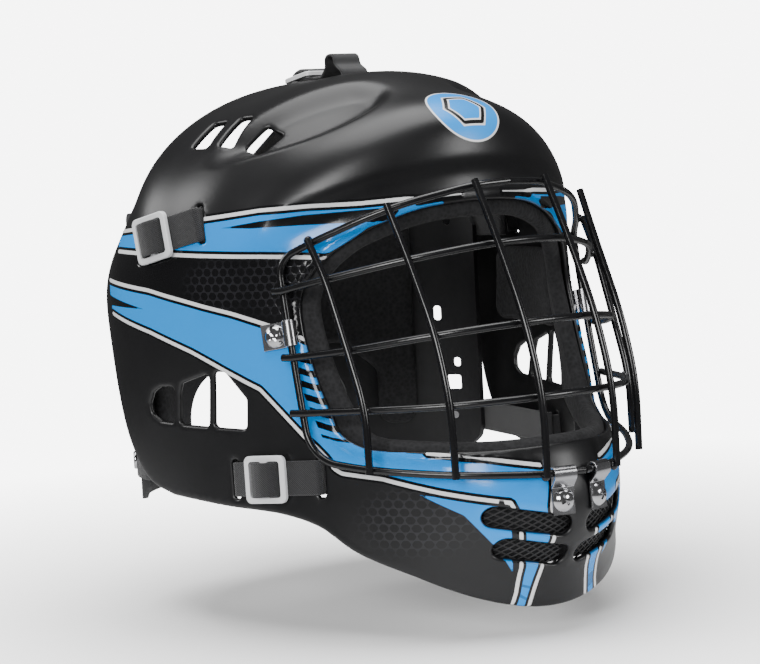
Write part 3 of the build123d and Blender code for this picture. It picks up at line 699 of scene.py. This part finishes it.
MIDDLE_BLUE = (MIDDLE_TOP + [(47, -20), (44, -45), (44, -60)] + UNDER_OPENING[1:] + CHIN_INNER
               + CHIN_OUTER[::-1] + MIDDLE_LOW[:-1][::-1])
CHEEK_BLUE = [(29, -83), (25, -84), (18, -87), (14.5, -89), (13, -97), (12.5, -106), (11.5, -120),
              (15, -108), (21, -92)]
BROW_BLUE = [(27, 43.5), (22, 44.5), (14, 46), (14, 43.5), (22, 41)]
UPPER_DARK = [(79, 38.5), (68, 41), (56, 43), (32, 44.5), (28, 43), (31, 38.5), (57, 38.5), (70, 38)]
REAR_DARK = [(120, 8), (103, 1), (118, 2)]
WHITE_LINES = [UPPER_TOP + [(20, 47.5), (8, 48.5)], UPPER_LOW + UPPER_TIP[1:], MIDDLE_TOP, MIDDLE_LOW,
               CHIN_OUTER, UNDER_STRIPE, CHIN_INNER]
# Where the faint honeycomb shows: (bearing, height) and its reach across and up, millimetres.
COMBS = [((62, 12), (34, 20)), ((30, -95), (30, 20)), ((80, 12), (22, 16))]
BADGE_MIDDLE = np.array([0.0, -56.0, 88.0])
BADGE_RADIUS = 18.6
BADGE_RING = 0.9
BADGE_HEXAGON = (7.4, 8.2, 10.0, 10.8)


BEARING_SCALE = np.array([1.7, 1.0])
WRAP_SCALE = 1.75


def traced(line, step=1.2):
    """A line of (bearing, height) laid on the right side of the skin."""
    run = resample(line * BEARING_SCALE, step, closed=False) / BEARING_SCALE
    return from_axis(*run.T)


def beside(run, reaches):
    """Flat places along lines at some millimetres to either side of a run on the skin."""
    _, normal = skin_surface(to_map(run))
    side = np.cross(normal, unit(np.gradient(run, axis=0)))
    return [to_map(run + reach * side) for reach in reaches]


def paint_guides():
    """Flat places along every painted edge, for both sides of the shell."""
    places = []
    for line in WHITE_LINES:
        rims = (STRIPE_WIDTH / 2, STRIPE_WIDTH / 2 + PINSTRIPE)
        places += beside(traced(line, 1.1), (0, *rims, -rims[0], -rims[1]))
    for outline in (UPPER_TIP, UPPER_DARK, REAR_DARK, CHEEK_BLUE, BROW_BLUE, UNDER_OPENING):
        places += beside(traced(outline + outline[:1], 0.9), (0, 0.7, -0.7))
    right = np.vstack(places)
    turn = full_turn(90)
    ring = np.stack([np.cos(turn), np.sin(turn)], -1)
    hexagon = ring / hexagon_reach(ring[:, 0], ring[:, 1])[:, None]
    badge = [ring * radius for radius in (BADGE_RADIUS - BADGE_RING, BADGE_RADIUS)]
    badge += [hexagon * reach for reach in BADGE_HEXAGON]
    return np.vstack([right, right * [-1, 1]] + [to_map(from_badge(run)) for run in badge])


def hexagon_reach(across, up):
    """How far places are from the middle of a hexagon, measured square to its nearest side."""
    return np.max([np.abs(across * np.cos(turn) + up * np.sin(turn)) for turn in np.radians((30, 90, 150))],
                  axis=0)


def badge_axes():
    _, normal = skin_surface(to_map(BADGE_MIDDLE[None]))
    return np.cross(normal[0], (1, 0, 0)), normal[0]


def from_badge(run):
    """Places on the skin over a flat disc laid on the forehead."""
    rise, normal = badge_axes()
    flat = BADGE_MIDDLE + run[:, :1] * np.array([1, 0, 0]) + run[:, 1:] * rise
    return on_skin(flat - 20 * normal, flat + 20 * normal)


def bearing_places(points):
    bearing = np.degrees(np.arctan2(np.abs(points[:, 0]), SKIN_CENTRE[1] - points[:, 1]))
    return np.stack([bearing, points[:, 2]], -1)


def to_right(points):
    """The points with those of the left side mirrored to the right one."""
    return np.column_stack([-np.abs(points[:, 0]), points[:, 1:]])


def signed_inside(points, outline):
    """Millimetres inside a painted field (negative outside), the same on both sides."""
    run = resample(outline * BEARING_SCALE, 1.2) / BEARING_SCALE
    inside = is_inside(bearing_places(points), [run])
    return np.where(inside, 1, -1) * distance_to(to_right(points), from_axis(*run.T), closed=True)


def paint_places(points, opening):
    """Every painted quantity of the shell, one number per point."""
    blue = np.max([signed_inside(points, outline)
                   for outline in (UPPER_BLUE, MIDDLE_BLUE, CHEEK_BLUE, BROW_BLUE)], axis=0)
    for outline in (UPPER_DARK, REAR_DARK):
        blue = np.minimum(blue, -signed_inside(points, outline))
    white = np.min([distance_to(to_right(points), traced(line)) for line in WHITE_LINES], axis=0)
    field = np.vstack([UPPER_TOP, [(26, 48), (31, 40), (47, 20), (52, -20), (46, -62)],
                       MIDDLE_LOW[::-1]])
    gloss = np.max([signed_inside(points, field), blue, 2 - white], axis=0)
    edge = distance_to(points, opening, closed=True)
    badge = np.linalg.norm(points - BADGE_MIDDLE, axis=1)
    hexagon = hexagon_reach(points[:, 0], (points - BADGE_MIDDLE) @ badge_axes()[0])
    bearing = bearing_places(points)
    comb = np.zeros(len(points))
    for centre, reach in COMBS:
        far = np.linalg.norm((bearing - centre) * [WRAP_SCALE, 1.0] / reach, axis=1)
        comb = np.maximum(comb, ramp(1.6 - 1.6 * far))
    return {"comb": comb, "blue": blue, "white": STRIPE_WIDTH / 2 - white, "gloss": gloss, "edge": edge,
            "badge": badge, "hexagon": hexagon, "wrap": bearing[:, 0] * WRAP_SCALE}


# ---------------------------------------------------------------- materials
class Nodes:
    """A small hand for node materials: every method adds a node and gives its output socket."""

    def __init__(self, name, **surface):
        self.material = bpy.data.materials.new(name)
        self.material.use_nodes = True
        self.tree = self.material.node_tree
        self.shader = self.tree.nodes["Principled BSDF"]
        for key, value in surface.items():
            self.shader.inputs[key.replace("_", " ")].default_value = value

    def put(self, node, socket, value):
        if isinstance(value, bpy.types.NodeSocket):
            self.tree.links.new(value, node.inputs[socket])
        else:
            node.inputs[socket].default_value = value

    def number(self, name):
        node = self.tree.nodes.new("ShaderNodeAttribute")
        node.attribute_name = name
        return node.outputs["Fac"]

    def place(self):
        return self.tree.nodes.new("ShaderNodeTexCoord").outputs["Object"]

    def split(self, vector):
        node = self.tree.nodes.new("ShaderNodeSeparateXYZ")
        self.put(node, 0, vector)
        return node.outputs

    def math(self, operation, a, b=0.0):
        node = self.tree.nodes.new("ShaderNodeMath")
        node.operation = operation
        self.put(node, 0, a)
        self.put(node, 1, b)
        return node.outputs[0]

    def times(self, a, b):
        return self.math("MULTIPLY", a, b)

    def plus(self, a, b):
        return self.math("ADD", a, b)

    def step(self, value, low, high):
        """A ramp from 0 at low to 1 at high."""
        node = self.tree.nodes.new("ShaderNodeMapRange")
        self.put(node, "Value", value)
        self.put(node, "From Min", low)
        self.put(node, "From Max", high)
        return node.outputs["Result"]

    def mix(self, share, a, b):
        node = self.tree.nodes.new("ShaderNodeMix")
        node.data_type = "RGBA"
        self.put(node, 0, share)
        self.put(node, 6, a)
        self.put(node, 7, b)
        return node.outputs[2]

    def noise(self, scale, detail=3.0, vector=None):
        node = self.tree.nodes.new("ShaderNodeTexNoise")
        self.put(node, "Vector", vector or self.place())
        self.put(node, "Scale", scale)
        self.put(node, "Detail", detail)
        return node.outputs["Fac"]

    def cells(self, scale, feature="F1"):
        node = self.tree.nodes.new("ShaderNodeTexVoronoi")
        node.feature = feature
        self.put(node, "Vector", self.place())
        self.put(node, "Scale", scale)
        return node.outputs["Distance"]

    def bump(self, height, strength, distance, under=None):
        node = self.tree.nodes.new("ShaderNodeBump")
        self.put(node, "Height", height)
        self.put(node, "Strength", strength)
        self.put(node, "Distance", distance)
        if under is not None:
            self.put(node, "Normal", under)
        return node.outputs["Normal"]

    def give(self, socket, value):
        self.put(self.shader, socket, value)


BLACK = (0.0045, 0.0045, 0.0052, 1)
BLUE_DEEP = (0.0, 0.31, 0.97, 1)
BLUE_LIGHT = (0.0, 0.38, 1.0, 1)
WHITE = (0.95, 0.955, 0.965, 1)


def shell_paint():
    m = Nodes("shell_paint", IOR=1.5)
    blue, white, edge = (m.number(key) for key in ("blue", "white", "edge"))
    badge, hexagon = m.number("badge"), m.number("hexagon")
    z = m.split(m.place())[2]
    outside = m.number("outside")
    worn = m.noise(38.0, 4.0)
    base = m.mix(worn, (0.0040, 0.0040, 0.0046, 1), (0.0075, 0.0075, 0.0085, 1))
    comb = honeycomb(m)
    comb = m.times(comb, m.number("comb"))
    base = m.mix(comb, base, (0.020, 0.020, 0.023, 1))
    tone = m.mix(m.noise(9.0, 2.0), BLUE_DEEP, BLUE_LIGHT)
    colour = m.mix(m.step(blue, -0.12, 0.12), base, tone)
    slant = m.math("SUBTRACT", m.times(z, 1000.0), m.times(edge, 0.30))
    bars = m.math("FRACT", m.times(m.plus(slant, 20.0), -1 / 6.2))
    bars = m.step(m.math("ABSOLUTE", m.math("SUBTRACT", bars, 0.5)), 0.275, 0.245)
    bars = m.times(bars, m.times(m.step(edge, 8.6, 8.3), m.step(slant, -19.0, -19.4)))
    bars = m.times(bars, m.step(slant, -60.4, -60.0))
    colour = m.mix(bars, colour, BLACK)
    pinstripe = m.step(white, -PINSTRIPE - 0.1, -PINSTRIPE + 0.1)
    pinstripe = m.times(pinstripe, m.step(blue, -0.6, -0.3))
    colour = m.mix(pinstripe, colour, BLACK)
    colour = m.mix(m.step(white, -0.1, 0.1), colour, WHITE)
    colour = m.mix(m.step(badge, BADGE_RADIUS + 0.1, BADGE_RADIUS - 0.1), colour, WHITE)
    inside = m.step(badge, BADGE_RADIUS - BADGE_RING + 0.1, BADGE_RADIUS - BADGE_RING - 0.1)
    colour = m.mix(inside, colour, tone)
    near = m.step(badge, BADGE_RADIUS - 2.0, BADGE_RADIUS - 2.2)
    for reach, finish in zip(BADGE_HEXAGON[::-1], (WHITE, BLACK, WHITE, tone)):
        share = m.times(near, m.step(hexagon, reach + 0.1, reach - 0.1))
        colour = m.mix(share, colour, finish)
    colour = m.mix(outside, (0.006, 0.006, 0.0065, 1), colour)
    m.give("Base Color", colour)
    glossy = m.times(m.step(m.number("gloss"), -0.3, 0.3), outside)
    rough = m.plus(0.30, m.times(worn, 0.10))
    rough = m.math("SUBTRACT", rough, m.times(glossy, 0.20))
    m.give("Roughness", rough)
    peel = m.bump(m.noise(420.0, 2.0), 0.08, 0.0003)
    peel = m.bump(comb, 0.25, 0.0001, peel)
    m.give("Normal", m.bump(m.step(white, -0.35, 0.25), 0.3, 0.0001, peel))
    return m.material


def honeycomb(m, pitch=4.2):
    """Thin lines round hexagons, from three waves that cross at 60 degrees."""
    wrap = m.number("wrap")
    rise = m.times(m.split(m.place())[2], 1000.0)
    total = None
    for turn in (30, 90, 150):
        across = m.times(wrap, math.cos(math.radians(turn)) * 2 * math.pi / pitch * 1.1547)
        up = m.times(rise, math.sin(math.radians(turn)) * 2 * math.pi / pitch * 1.1547)
        wave = m.math("COSINE", m.plus(across, up))
        total = wave if total is None else m.plus(total, wave)
    return m.step(total, -0.78, -0.98)


def plain(name, low, high, rough, grain, strength, depth=0.0003, **surface):
    """A moulded or coated finish: two close tones, roughness that wanders and a fine grain."""
    m = Nodes(name, **surface)
    blotch = m.noise(55.0, 4.0)
    m.give("Base Color", m.mix(blotch, (*low, 1), (*high, 1)))
    m.give("Roughness", m.plus(rough[0], m.times(m.noise(130.0), rough[1] - rough[0])))
    m.give("Normal", m.bump(m.noise(grain, 3.0), strength, depth))
    return m.material


def webbing_material():
    m = Nodes("webbing")
    along, across = m.number("web_along"), m.number("web_across")
    rib = m.math("SINE", m.times(m.plus(along, across), 6.2832 / 1.05))
    yarn = m.math("SINE", m.times(m.math("SUBTRACT", along, m.times(across, 0.4)), 9.5))
    weave = m.plus(m.times(rib, 0.7), m.times(yarn, 0.3))
    height = m.step(weave, -1.0, 1.0)
    fuzz = m.noise(900.0, 2.0)
    # Colour follows the weave height: the grooves are darker and the rib tops lighter, which is painted
    # shade in the grooves, broken up at random by the fuzz.
    m.give("Base Color", m.mix(m.times(height, m.step(fuzz, 0.1, 0.9)),
                               (0.006, 0.006, 0.007, 1), (0.034, 0.034, 0.037, 1)))
    m.give("Roughness", m.plus(0.62, m.times(fuzz, 0.25)))
    m.shader.inputs["Sheen Weight"].default_value = 0.25
    m.give("Normal", m.bump(height, 0.85, 0.00035))
    return m.material


def foam_material():
    m = Nodes("foam")
    pores = m.cells(520.0)
    # The pores are darkest at their middles, where the bump makes them deepest: painted shade in the pore
    # hollows.
    m.give("Base Color", m.mix(pores, (0.006, 0.006, 0.0065, 1), (0.022, 0.022, 0.024, 1)))
    m.give("Roughness", m.plus(0.78, m.times(m.noise(160.0), 0.18)))
    m.give("Normal", m.bump(pores, 0.5, 0.0005, m.bump(m.noise(70.0, 2.0), 0.3, 0.001)))
    return m.material


# ---------------------------------------------------------------- the shell
SIDE_SCREW = ((-20, -22.6, -11.7), (-160, -22.6, -11.7))
CHIN_SCREW = ((-10, 0, -87.5), (-10, -170, -87.5))


def lip_lift(points, opening):
    """The low bead moulded round the face opening."""
    gap = distance_to(points, opening, closed=True)
    return 0.8 * ramp(gap / 1.2) * ramp((5.2 - gap) / 1.6)


def add_shell(opening):
    holes = [opening]
    one_side = vent_loops() + slot_loops("upper") + slot_loops("lower")
    one_side += [hole_loop(*SIDE_SCREW, 2.6), hole_loop(*CHIN_SCREW, 2.6)]
    for loop in one_side:
        holes += [loop, mirrored(loop)]
    holes += slot_loops("top")
    spacing = 1.9
    points, faces = slab([border_loop()] + holes, SKIN_WALL, 0.0, SHELL_THICKNESS, spacing, 5.0,
                         lift=lambda base: lip_lift(base, opening), guides=paint_guides())
    paint = paint_places(points, opening)
    paint["outside"] = np.clip((0.9 - depth_below(points)) / 0.4, 0, 1)
    shell = make_object("face_shell", points, faces, paint)
    settle(shell, shell_paint(), "mask", "shell_plastic", "shell")


def settle(obj, finish, body, slot, *nodes):
    """Gives a piece its material and its body, and hides the CAD nodes it stands for. The finish slot is
    not used.
    """
    obj.data.materials.append(finish)
    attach(obj, body)
    if nodes:
        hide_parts(*nodes)


# ---------------------------------------------------------------- lining
def add_pad(name, mesh, foam, body, node):
    pad = make_object(name, *mesh)
    settle(pad, foam, body, "foam", node)


def add_lining(foam):
    ring = [opening_loop(9.0, 3.0), opening_loop(-5.0, 3.0)]
    add_pad("lining_face", slab(ring, SKIN_WALL, 3.3, 10.9, 5.0), foam, "mask", "face_gasket")
    crown = from_above(*around_box((0, 10), (58, 62), 18, 2.5).T)
    add_pad("lining_crown", slab([crown], SKIN_WALL, 4.6, 12.4, 5.0), foam, "mask", "crown_pad")
    chin = from_front(*around_box((0, -102), (108, 40), 14, 2.5).T)
    add_pad("lining_chin", slab([chin], SKIN_WALL, 4.7, 12.5, 5.0), foam, "mask", "chin_pad")
    side = from_side(*around_box((24.3, -4.5), (74.5, 40), 8, 2.5).T)
    points, faces = slab([side], SKIN_WALL, 3.3, 10.9, 5.0)
    add_pad("lining_side_right", (points, faces), foam, "mask", "side_pad_right")
    add_pad("lining_side_left", (mirrored(points), faces), foam, "mask", "side_pad_left")


def add_plate_pad(foam):
    """The foam on the inner face of the back plate: an arch over the neck with soft edges."""
    half = [(40, -33.5), (58.5, -50), (58.5, -80), (77.5, -80), (81, -70), (81, 30), (75, 36.5)]
    run = rounded(half + [(-across, up) for across, up in half[::-1]], 8, 2.5)
    arch = slab([plate_surface(run)[0]], PLATE_WALL, PLATE_THICKNESS + 0.3, PLATE_THICKNESS + 8.0, 5.0)
    add_pad("lining_back_plate", arch, foam, "rear_plate", "back_plate_pad")


def add_mouth_mesh():
    """The screens behind the mouth slots: two families of strands that cross as diamonds."""
    low, high = (-41.5, -120.8), (-3.1, -87.5)
    slope = 0.62
    metal = plain("mesh_metal", (0.010, 0.010, 0.011), (0.030, 0.030, 0.032), (0.35, 0.55), 300.0, 0.3)
    strands = []
    for way in (-1, 1):
        for start in np.arange(-40, 80, 3.1):
            x = np.arange(low[0], high[0] + 0.1, 1.4)
            z = low[1] + start + (slope * (x - low[0]) if way > 0 else slope * (high[0] - x))
            keep = (z > low[1]) & (z < high[1])
            if np.count_nonzero(keep) < 3:
                continue
            point, normal = skin_surface(to_map(from_front(x[keep], z[keep])))
            strands.append(tube(point - normal * (SHELL_THICKNESS + 0.7), 0.38, 5))
    points, faces = joined(strands)
    for side, name in ((1, "right"), (-1, "left")):
        mesh = make_object(f"mouth_screen_{name}", points * [side, 1, 1], faces)
        settle(mesh, metal, "mask", "mesh", f"mouth_mesh_{name}")


# ---------------------------------------------------------------- webbing
def outer_web_path(station):
    half = station.span / 2
    run = np.linspace(-half, half, 7)
    lie = list(zip(run, station.web_height(run)))
    inside = SHELL_THICKNESS + 3.2
    front = (-half, float(station.skin_height(-half)) - inside - 2)
    rear = (half, float(station.skin_height(half)) - inside)
    points = np.array([front] + lie + [rear])
    path = filleted(points, [1.3] + [12] * 5 + [1.3])
    return station.place(path[:, 0], 0, path[:, 1])


def top_web_path(station):
    half = station.span / 2
    rise = float(station.web_height(-half))
    loop = [(-half, float(station.skin_height(-half)) - 7), (-half, rise + 1.5), (-half + 5, rise + 5.5),
            (-half + 5.5, rise + 11), (-half + 12.5, rise + 11.5), (-half + 13, rise + 5.5)]
    run = np.linspace(-half + 18, half, 7)
    lie = list(zip(run, station.web_height(run)))
    rear = (half, float(station.skin_height(half)) - 6.2)
    path = filleted(np.array(loop + lie + [rear]), [3, 4, 3.4, 3.4, 5] + [1.6] + [12] * 5 + [1.6])
    return station.place(path[:, 0], 0, path[:, 1])


BUCKLE_TRAVEL = {"upper": -10.0, "lower": -10.0, "top": 7.0}


def fold_path(name):
    """The turn of webbing that bulges through the buckle and covers its middle bar."""
    station = STATIONS[name]
    reach = BUCKLE_LENGTH / 2
    ends = [station.along - reach, station.along + reach]
    ends[BUCKLE_TRAVEL[name] > 0] += BUCKLE_TRAVEL[name]
    base = float(np.max(station.web_height(np.linspace(*ends, 7)))) + WEB_THICKNESS / 2 + 0.3
    base += WEB_THICKNESS / 2
    top = BUCKLE_THICKNESS + WEB_THICKNESS / 2 + 0.1
    foot = BUCKLE_LENGTH / 2 - BUCKLE_BAR - WEB_THICKNESS / 2 - 0.3
    points = [(-foot, 0), (-foot + 1.6, top * 0.8), (-foot + 4, top + 0.3), (0, top + 0.9),
              (foot - 4, top + 0.3), (foot - 1.6, top * 0.8), (foot, 0)]
    path = filleted(np.array(points) + [station.along, base], [1.5, 3, 12, 3, 1.5])
    return station.place(path[:, 0], 0, path[:, 1])


def plate_side_point(y, stand_off):
    turn = math.asin((y - PLATE_FRONT) / PLATE_DEPTH)
    normal = np.array([-math.cos(turn) / PLATE_HALF_WIDTH, math.sin(turn) / PLATE_DEPTH])
    point = np.array([-PLATE_HALF_WIDTH * math.cos(turn), y])
    return point + normal / np.linalg.norm(normal) * stand_off


RIVET_Y = 90.0


def inner_web_path(slot, z):
    start = slot[0] + SHELL_THICKNESS + 4.2
    points = [(start - 0.6, slot[1] + 1.2, z), (start + 1.2, slot[1] + 3, z)]
    for y in (PLATE_FRONT + 1.5, RIVET_Y - 11, RIVET_Y - 5, RIVET_Y, RIVET_Y + 4, RIVET_Y + 8):
        x, depth = plate_side_point(y, WEB_THICKNESS / 2 + 0.4)
        points.append((x, depth, z))
    return filleted(np.array(points), [2, 8] + [10] * 4)


def add_webbing():
    cloth = webbing_material()

    def place(obj, body, node):
        settle(obj, cloth, body, "webbing", node)

    for name in ("upper", "lower"):
        station = STATIONS[name]
        for side, word in ((1, "right"), (-1, "left")):
            flip = np.array([side, 1, 1])
            path = outer_web_path(station) * flip
            place(web(f"webbing_{name}_{word}", path, station.y * flip), "mask", f"strap_{name}_{word}")
            path = fold_path(name) * flip
            place(web(f"webbing_fold_{name}_{word}", path, station.y * flip), f"buckle_{name}_{word}_body",
                  f"strap_fold_{name}_{word}")
    top = STATIONS["top"]
    place(web("webbing_top", top_web_path(top), top.y), "mask", "strap_top")
    place(web("webbing_fold_top", fold_path("top"), top.y), "buckle_top_body", "strap_fold_top")
    back = PLATE_FRONT + PLATE_DEPTH + WEB_THICKNESS / 2 + 0.3
    y, z = top.rear[1:]
    path = filleted([(0, y, z - 10.5), (0, y + 5, z - 15), (0, back, 60), (0, back, 27)], [4, 25])
    place(web("webbing_inner_top", path, (1, 0, 0)), "rear_plate", "strap_inner_top")
    for name, z in (("upper", 29.0), ("lower", -77.0)):
        for side, word in ((1, "right"), (-1, "left")):
            path = inner_web_path(STATIONS[name].rear, z) * [side, 1, 1]
            obj = web(f"webbing_inner_{name}_{word}", path, (0, 0, 1))
            obj.data.materials.append(cloth)
            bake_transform(obj)
            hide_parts(f"strap_inner_{name}_{word}")


# ---------------------------------------------------------------- carried-over CAD nodes
def finish_nodes():
    wire = plain("cage_coat", (0.004, 0.004, 0.0045), (0.008, 0.008, 0.009), (0.14, 0.26), 190.0, 0.18)
    nickel = plain("nickel_steel", (0.36, 0.36, 0.37), (0.48, 0.48, 0.50), (0.16, 0.30), 260.0, 0.06,
                   Metallic=1.0)
    chrome = plain("chrome_steel", (0.52, 0.52, 0.53), (0.64, 0.64, 0.66), (0.07, 0.16), 90.0, 0.04,
                   Metallic=1.0)
    plate = plain("plate_plastic", (0.010, 0.010, 0.011), (0.018, 0.018, 0.020), (0.40, 0.58), 620.0, 0.30)
    white = plain("buckle_plastic", (0.84, 0.845, 0.86), (0.93, 0.935, 0.95), (0.22, 0.36), 150.0, 0.10)
    for name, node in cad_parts.items():
        if name.startswith("cage_"):
            finish = wire
        elif "clip_screws" in name or name == "strap_rivets":
            finish = chrome
        elif "clip" in name:
            finish = nickel
        elif name.startswith("buckle_"):
            finish = white
        elif name == "back_plate":
            finish = plate
        else:
            continue
        node.data.materials.clear()
        node.data.materials.append(finish)
    return wire


def points_of(node):
    return np.array([tuple(v.co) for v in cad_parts[node].data.vertices]) / MM


def add_welds(wire):
    """Small flattened beads where the uprights are welded on the level wires and the rim."""
    beads = []
    levels = [points_of(f"cage_{word}") for word in ("rim", "level_upper", "level_middle", "level_lower")]
    for word in ("outer", "mid", "inner"):
        for side in ("right", "left"):
            upright = points_of(f"cage_upright_{word}_{side}")
            for level in levels:
                beads += weld_beads(upright, level)
    welds = make_object("cage_welds", *joined(beads))
    settle(welds, wire, "mask", "cage_wire")


def weld_beads(first, second):
    """A bead at every place where two rods come within touching distance."""
    beads = []
    nearest = np.array([np.min(np.sum((second - p) ** 2, axis=1)) for p in first]) ** 0.5
    close = first[nearest < 1.1]
    while len(close):
        group = np.linalg.norm(close - close[0], axis=1) < 9
        beads.append(bead(close[group].mean(axis=0)))
        close = close[~group]
    return beads


def bead(middle, rows=7, sides=12):
    """Points and faces of a slightly lumpy drop."""
    polar = np.linspace(0.15, np.pi - 0.15, rows)[:, None]
    turn = full_turn(sides)
    swell = 1 + 0.06 * np.sin(3 * turn + middle[0]) * np.sin(polar)
    drop = np.stack([2.2 * swell * np.sin(polar) * np.cos(turn), 1.5 * np.sin(polar) * np.sin(turn),
                     2.1 * swell * np.cos(polar)], -1)
    return middle + drop.reshape(-1, 3), ring_faces(rows, sides)


# ---------------------------------------------------------------- camera, light and floor
def add_camera():
    camera = bpy.data.cameras.new("camera")
    camera.lens = 106.3
    camera.sensor_width = 36
    camera.clip_end = 20
    right, up, ahead = (0.8074, -0.5879, -0.0507), (0.0922, 0.0409, 0.9950), (0.5829, 0.8079, -0.0872)
    turn = Matrix((right, up, tuple(-v for v in ahead))).transposed().to_4x4()
    holder = bpy.data.objects.new("camera", camera)
    holder.matrix_world = Matrix.Translation(Vector((-0.6483, -0.8789, 0.0774))) @ turn
    bpy.context.collection.objects.link(holder)
    bpy.context.scene.camera = holder


def add_light(name, place, size, power):
    light = bpy.data.lights.new(name, "AREA")
    light.shape = "RECTANGLE"
    light.size, light.size_y = size
    light.energy = power
    holder = bpy.data.objects.new(name, light)
    holder.location = place
    holder.rotation_euler = (-Vector(place)).to_track_quat("-Z", "Y").to_euler()
    bpy.context.collection.objects.link(holder)


FLOOR_HEIGHT = -0.150


def add_studio():
    world = bpy.data.worlds.new("studio")
    bpy.context.scene.world = world
    world.use_nodes = True
    tree = world.node_tree
    sky = tree.nodes["Background"]
    sky.inputs["Color"].default_value = (1, 1, 1, 1)
    seen = tree.nodes.new("ShaderNodeLightPath").outputs["Is Camera Ray"]
    level = tree.nodes.new("ShaderNodeMapRange")
    level.inputs["To Min"].default_value = 0.10
    level.inputs["To Max"].default_value = 7.0
    tree.links.new(seen, level.inputs["Value"])
    tree.links.new(level.outputs["Result"], sky.inputs["Strength"])
    add_light("overhead", (0.0, 0.0, 2.1), (1.9, 1.9), 64)
    add_light("key", (-2.1, -1.5, 0.9), (1.2, 1.0), 50)
    add_light("fill", (1.2, -2.4, 0.8), (1.0, 1.0), 32)
    add_light("edge", (-1.9, 1.9, 1.3), (1.3, 0.9), 30)
    floor = bpy.data.meshes.new("floor")
    turn = full_turn(96)
    rim = np.stack([1.6 * np.cos(turn), 1.6 * np.sin(turn), 0 * turn + FLOOR_HEIGHT], -1)
    floor.from_pydata(rim.tolist(), [], [tuple(range(len(rim)))])
    ground = bpy.data.objects.new("floor", floor)
    bpy.context.collection.objects.link(ground)
    paper = Nodes("floor_paper")
    paper.shader.inputs["Base Color"].default_value = (0.95, 0.95, 0.95, 1)
    paper.shader.inputs["Roughness"].default_value = 0.9
    x, y, _ = paper.split(paper.place())
    reach = paper.math("SQRT", paper.plus(paper.times(x, x), paper.times(y, y)))
    paper.give("Alpha", paper.step(reach, 0.55, 0.10))
    floor.materials.append(paper.material)


add_camera()
add_studio()
FACE_OPENING = opening_loop()
add_shell(FACE_OPENING)
FOAM = foam_material()
add_lining(FOAM)
add_plate_pad(FOAM)
add_mouth_mesh()
add_webbing()
add_welds(finish_nodes())
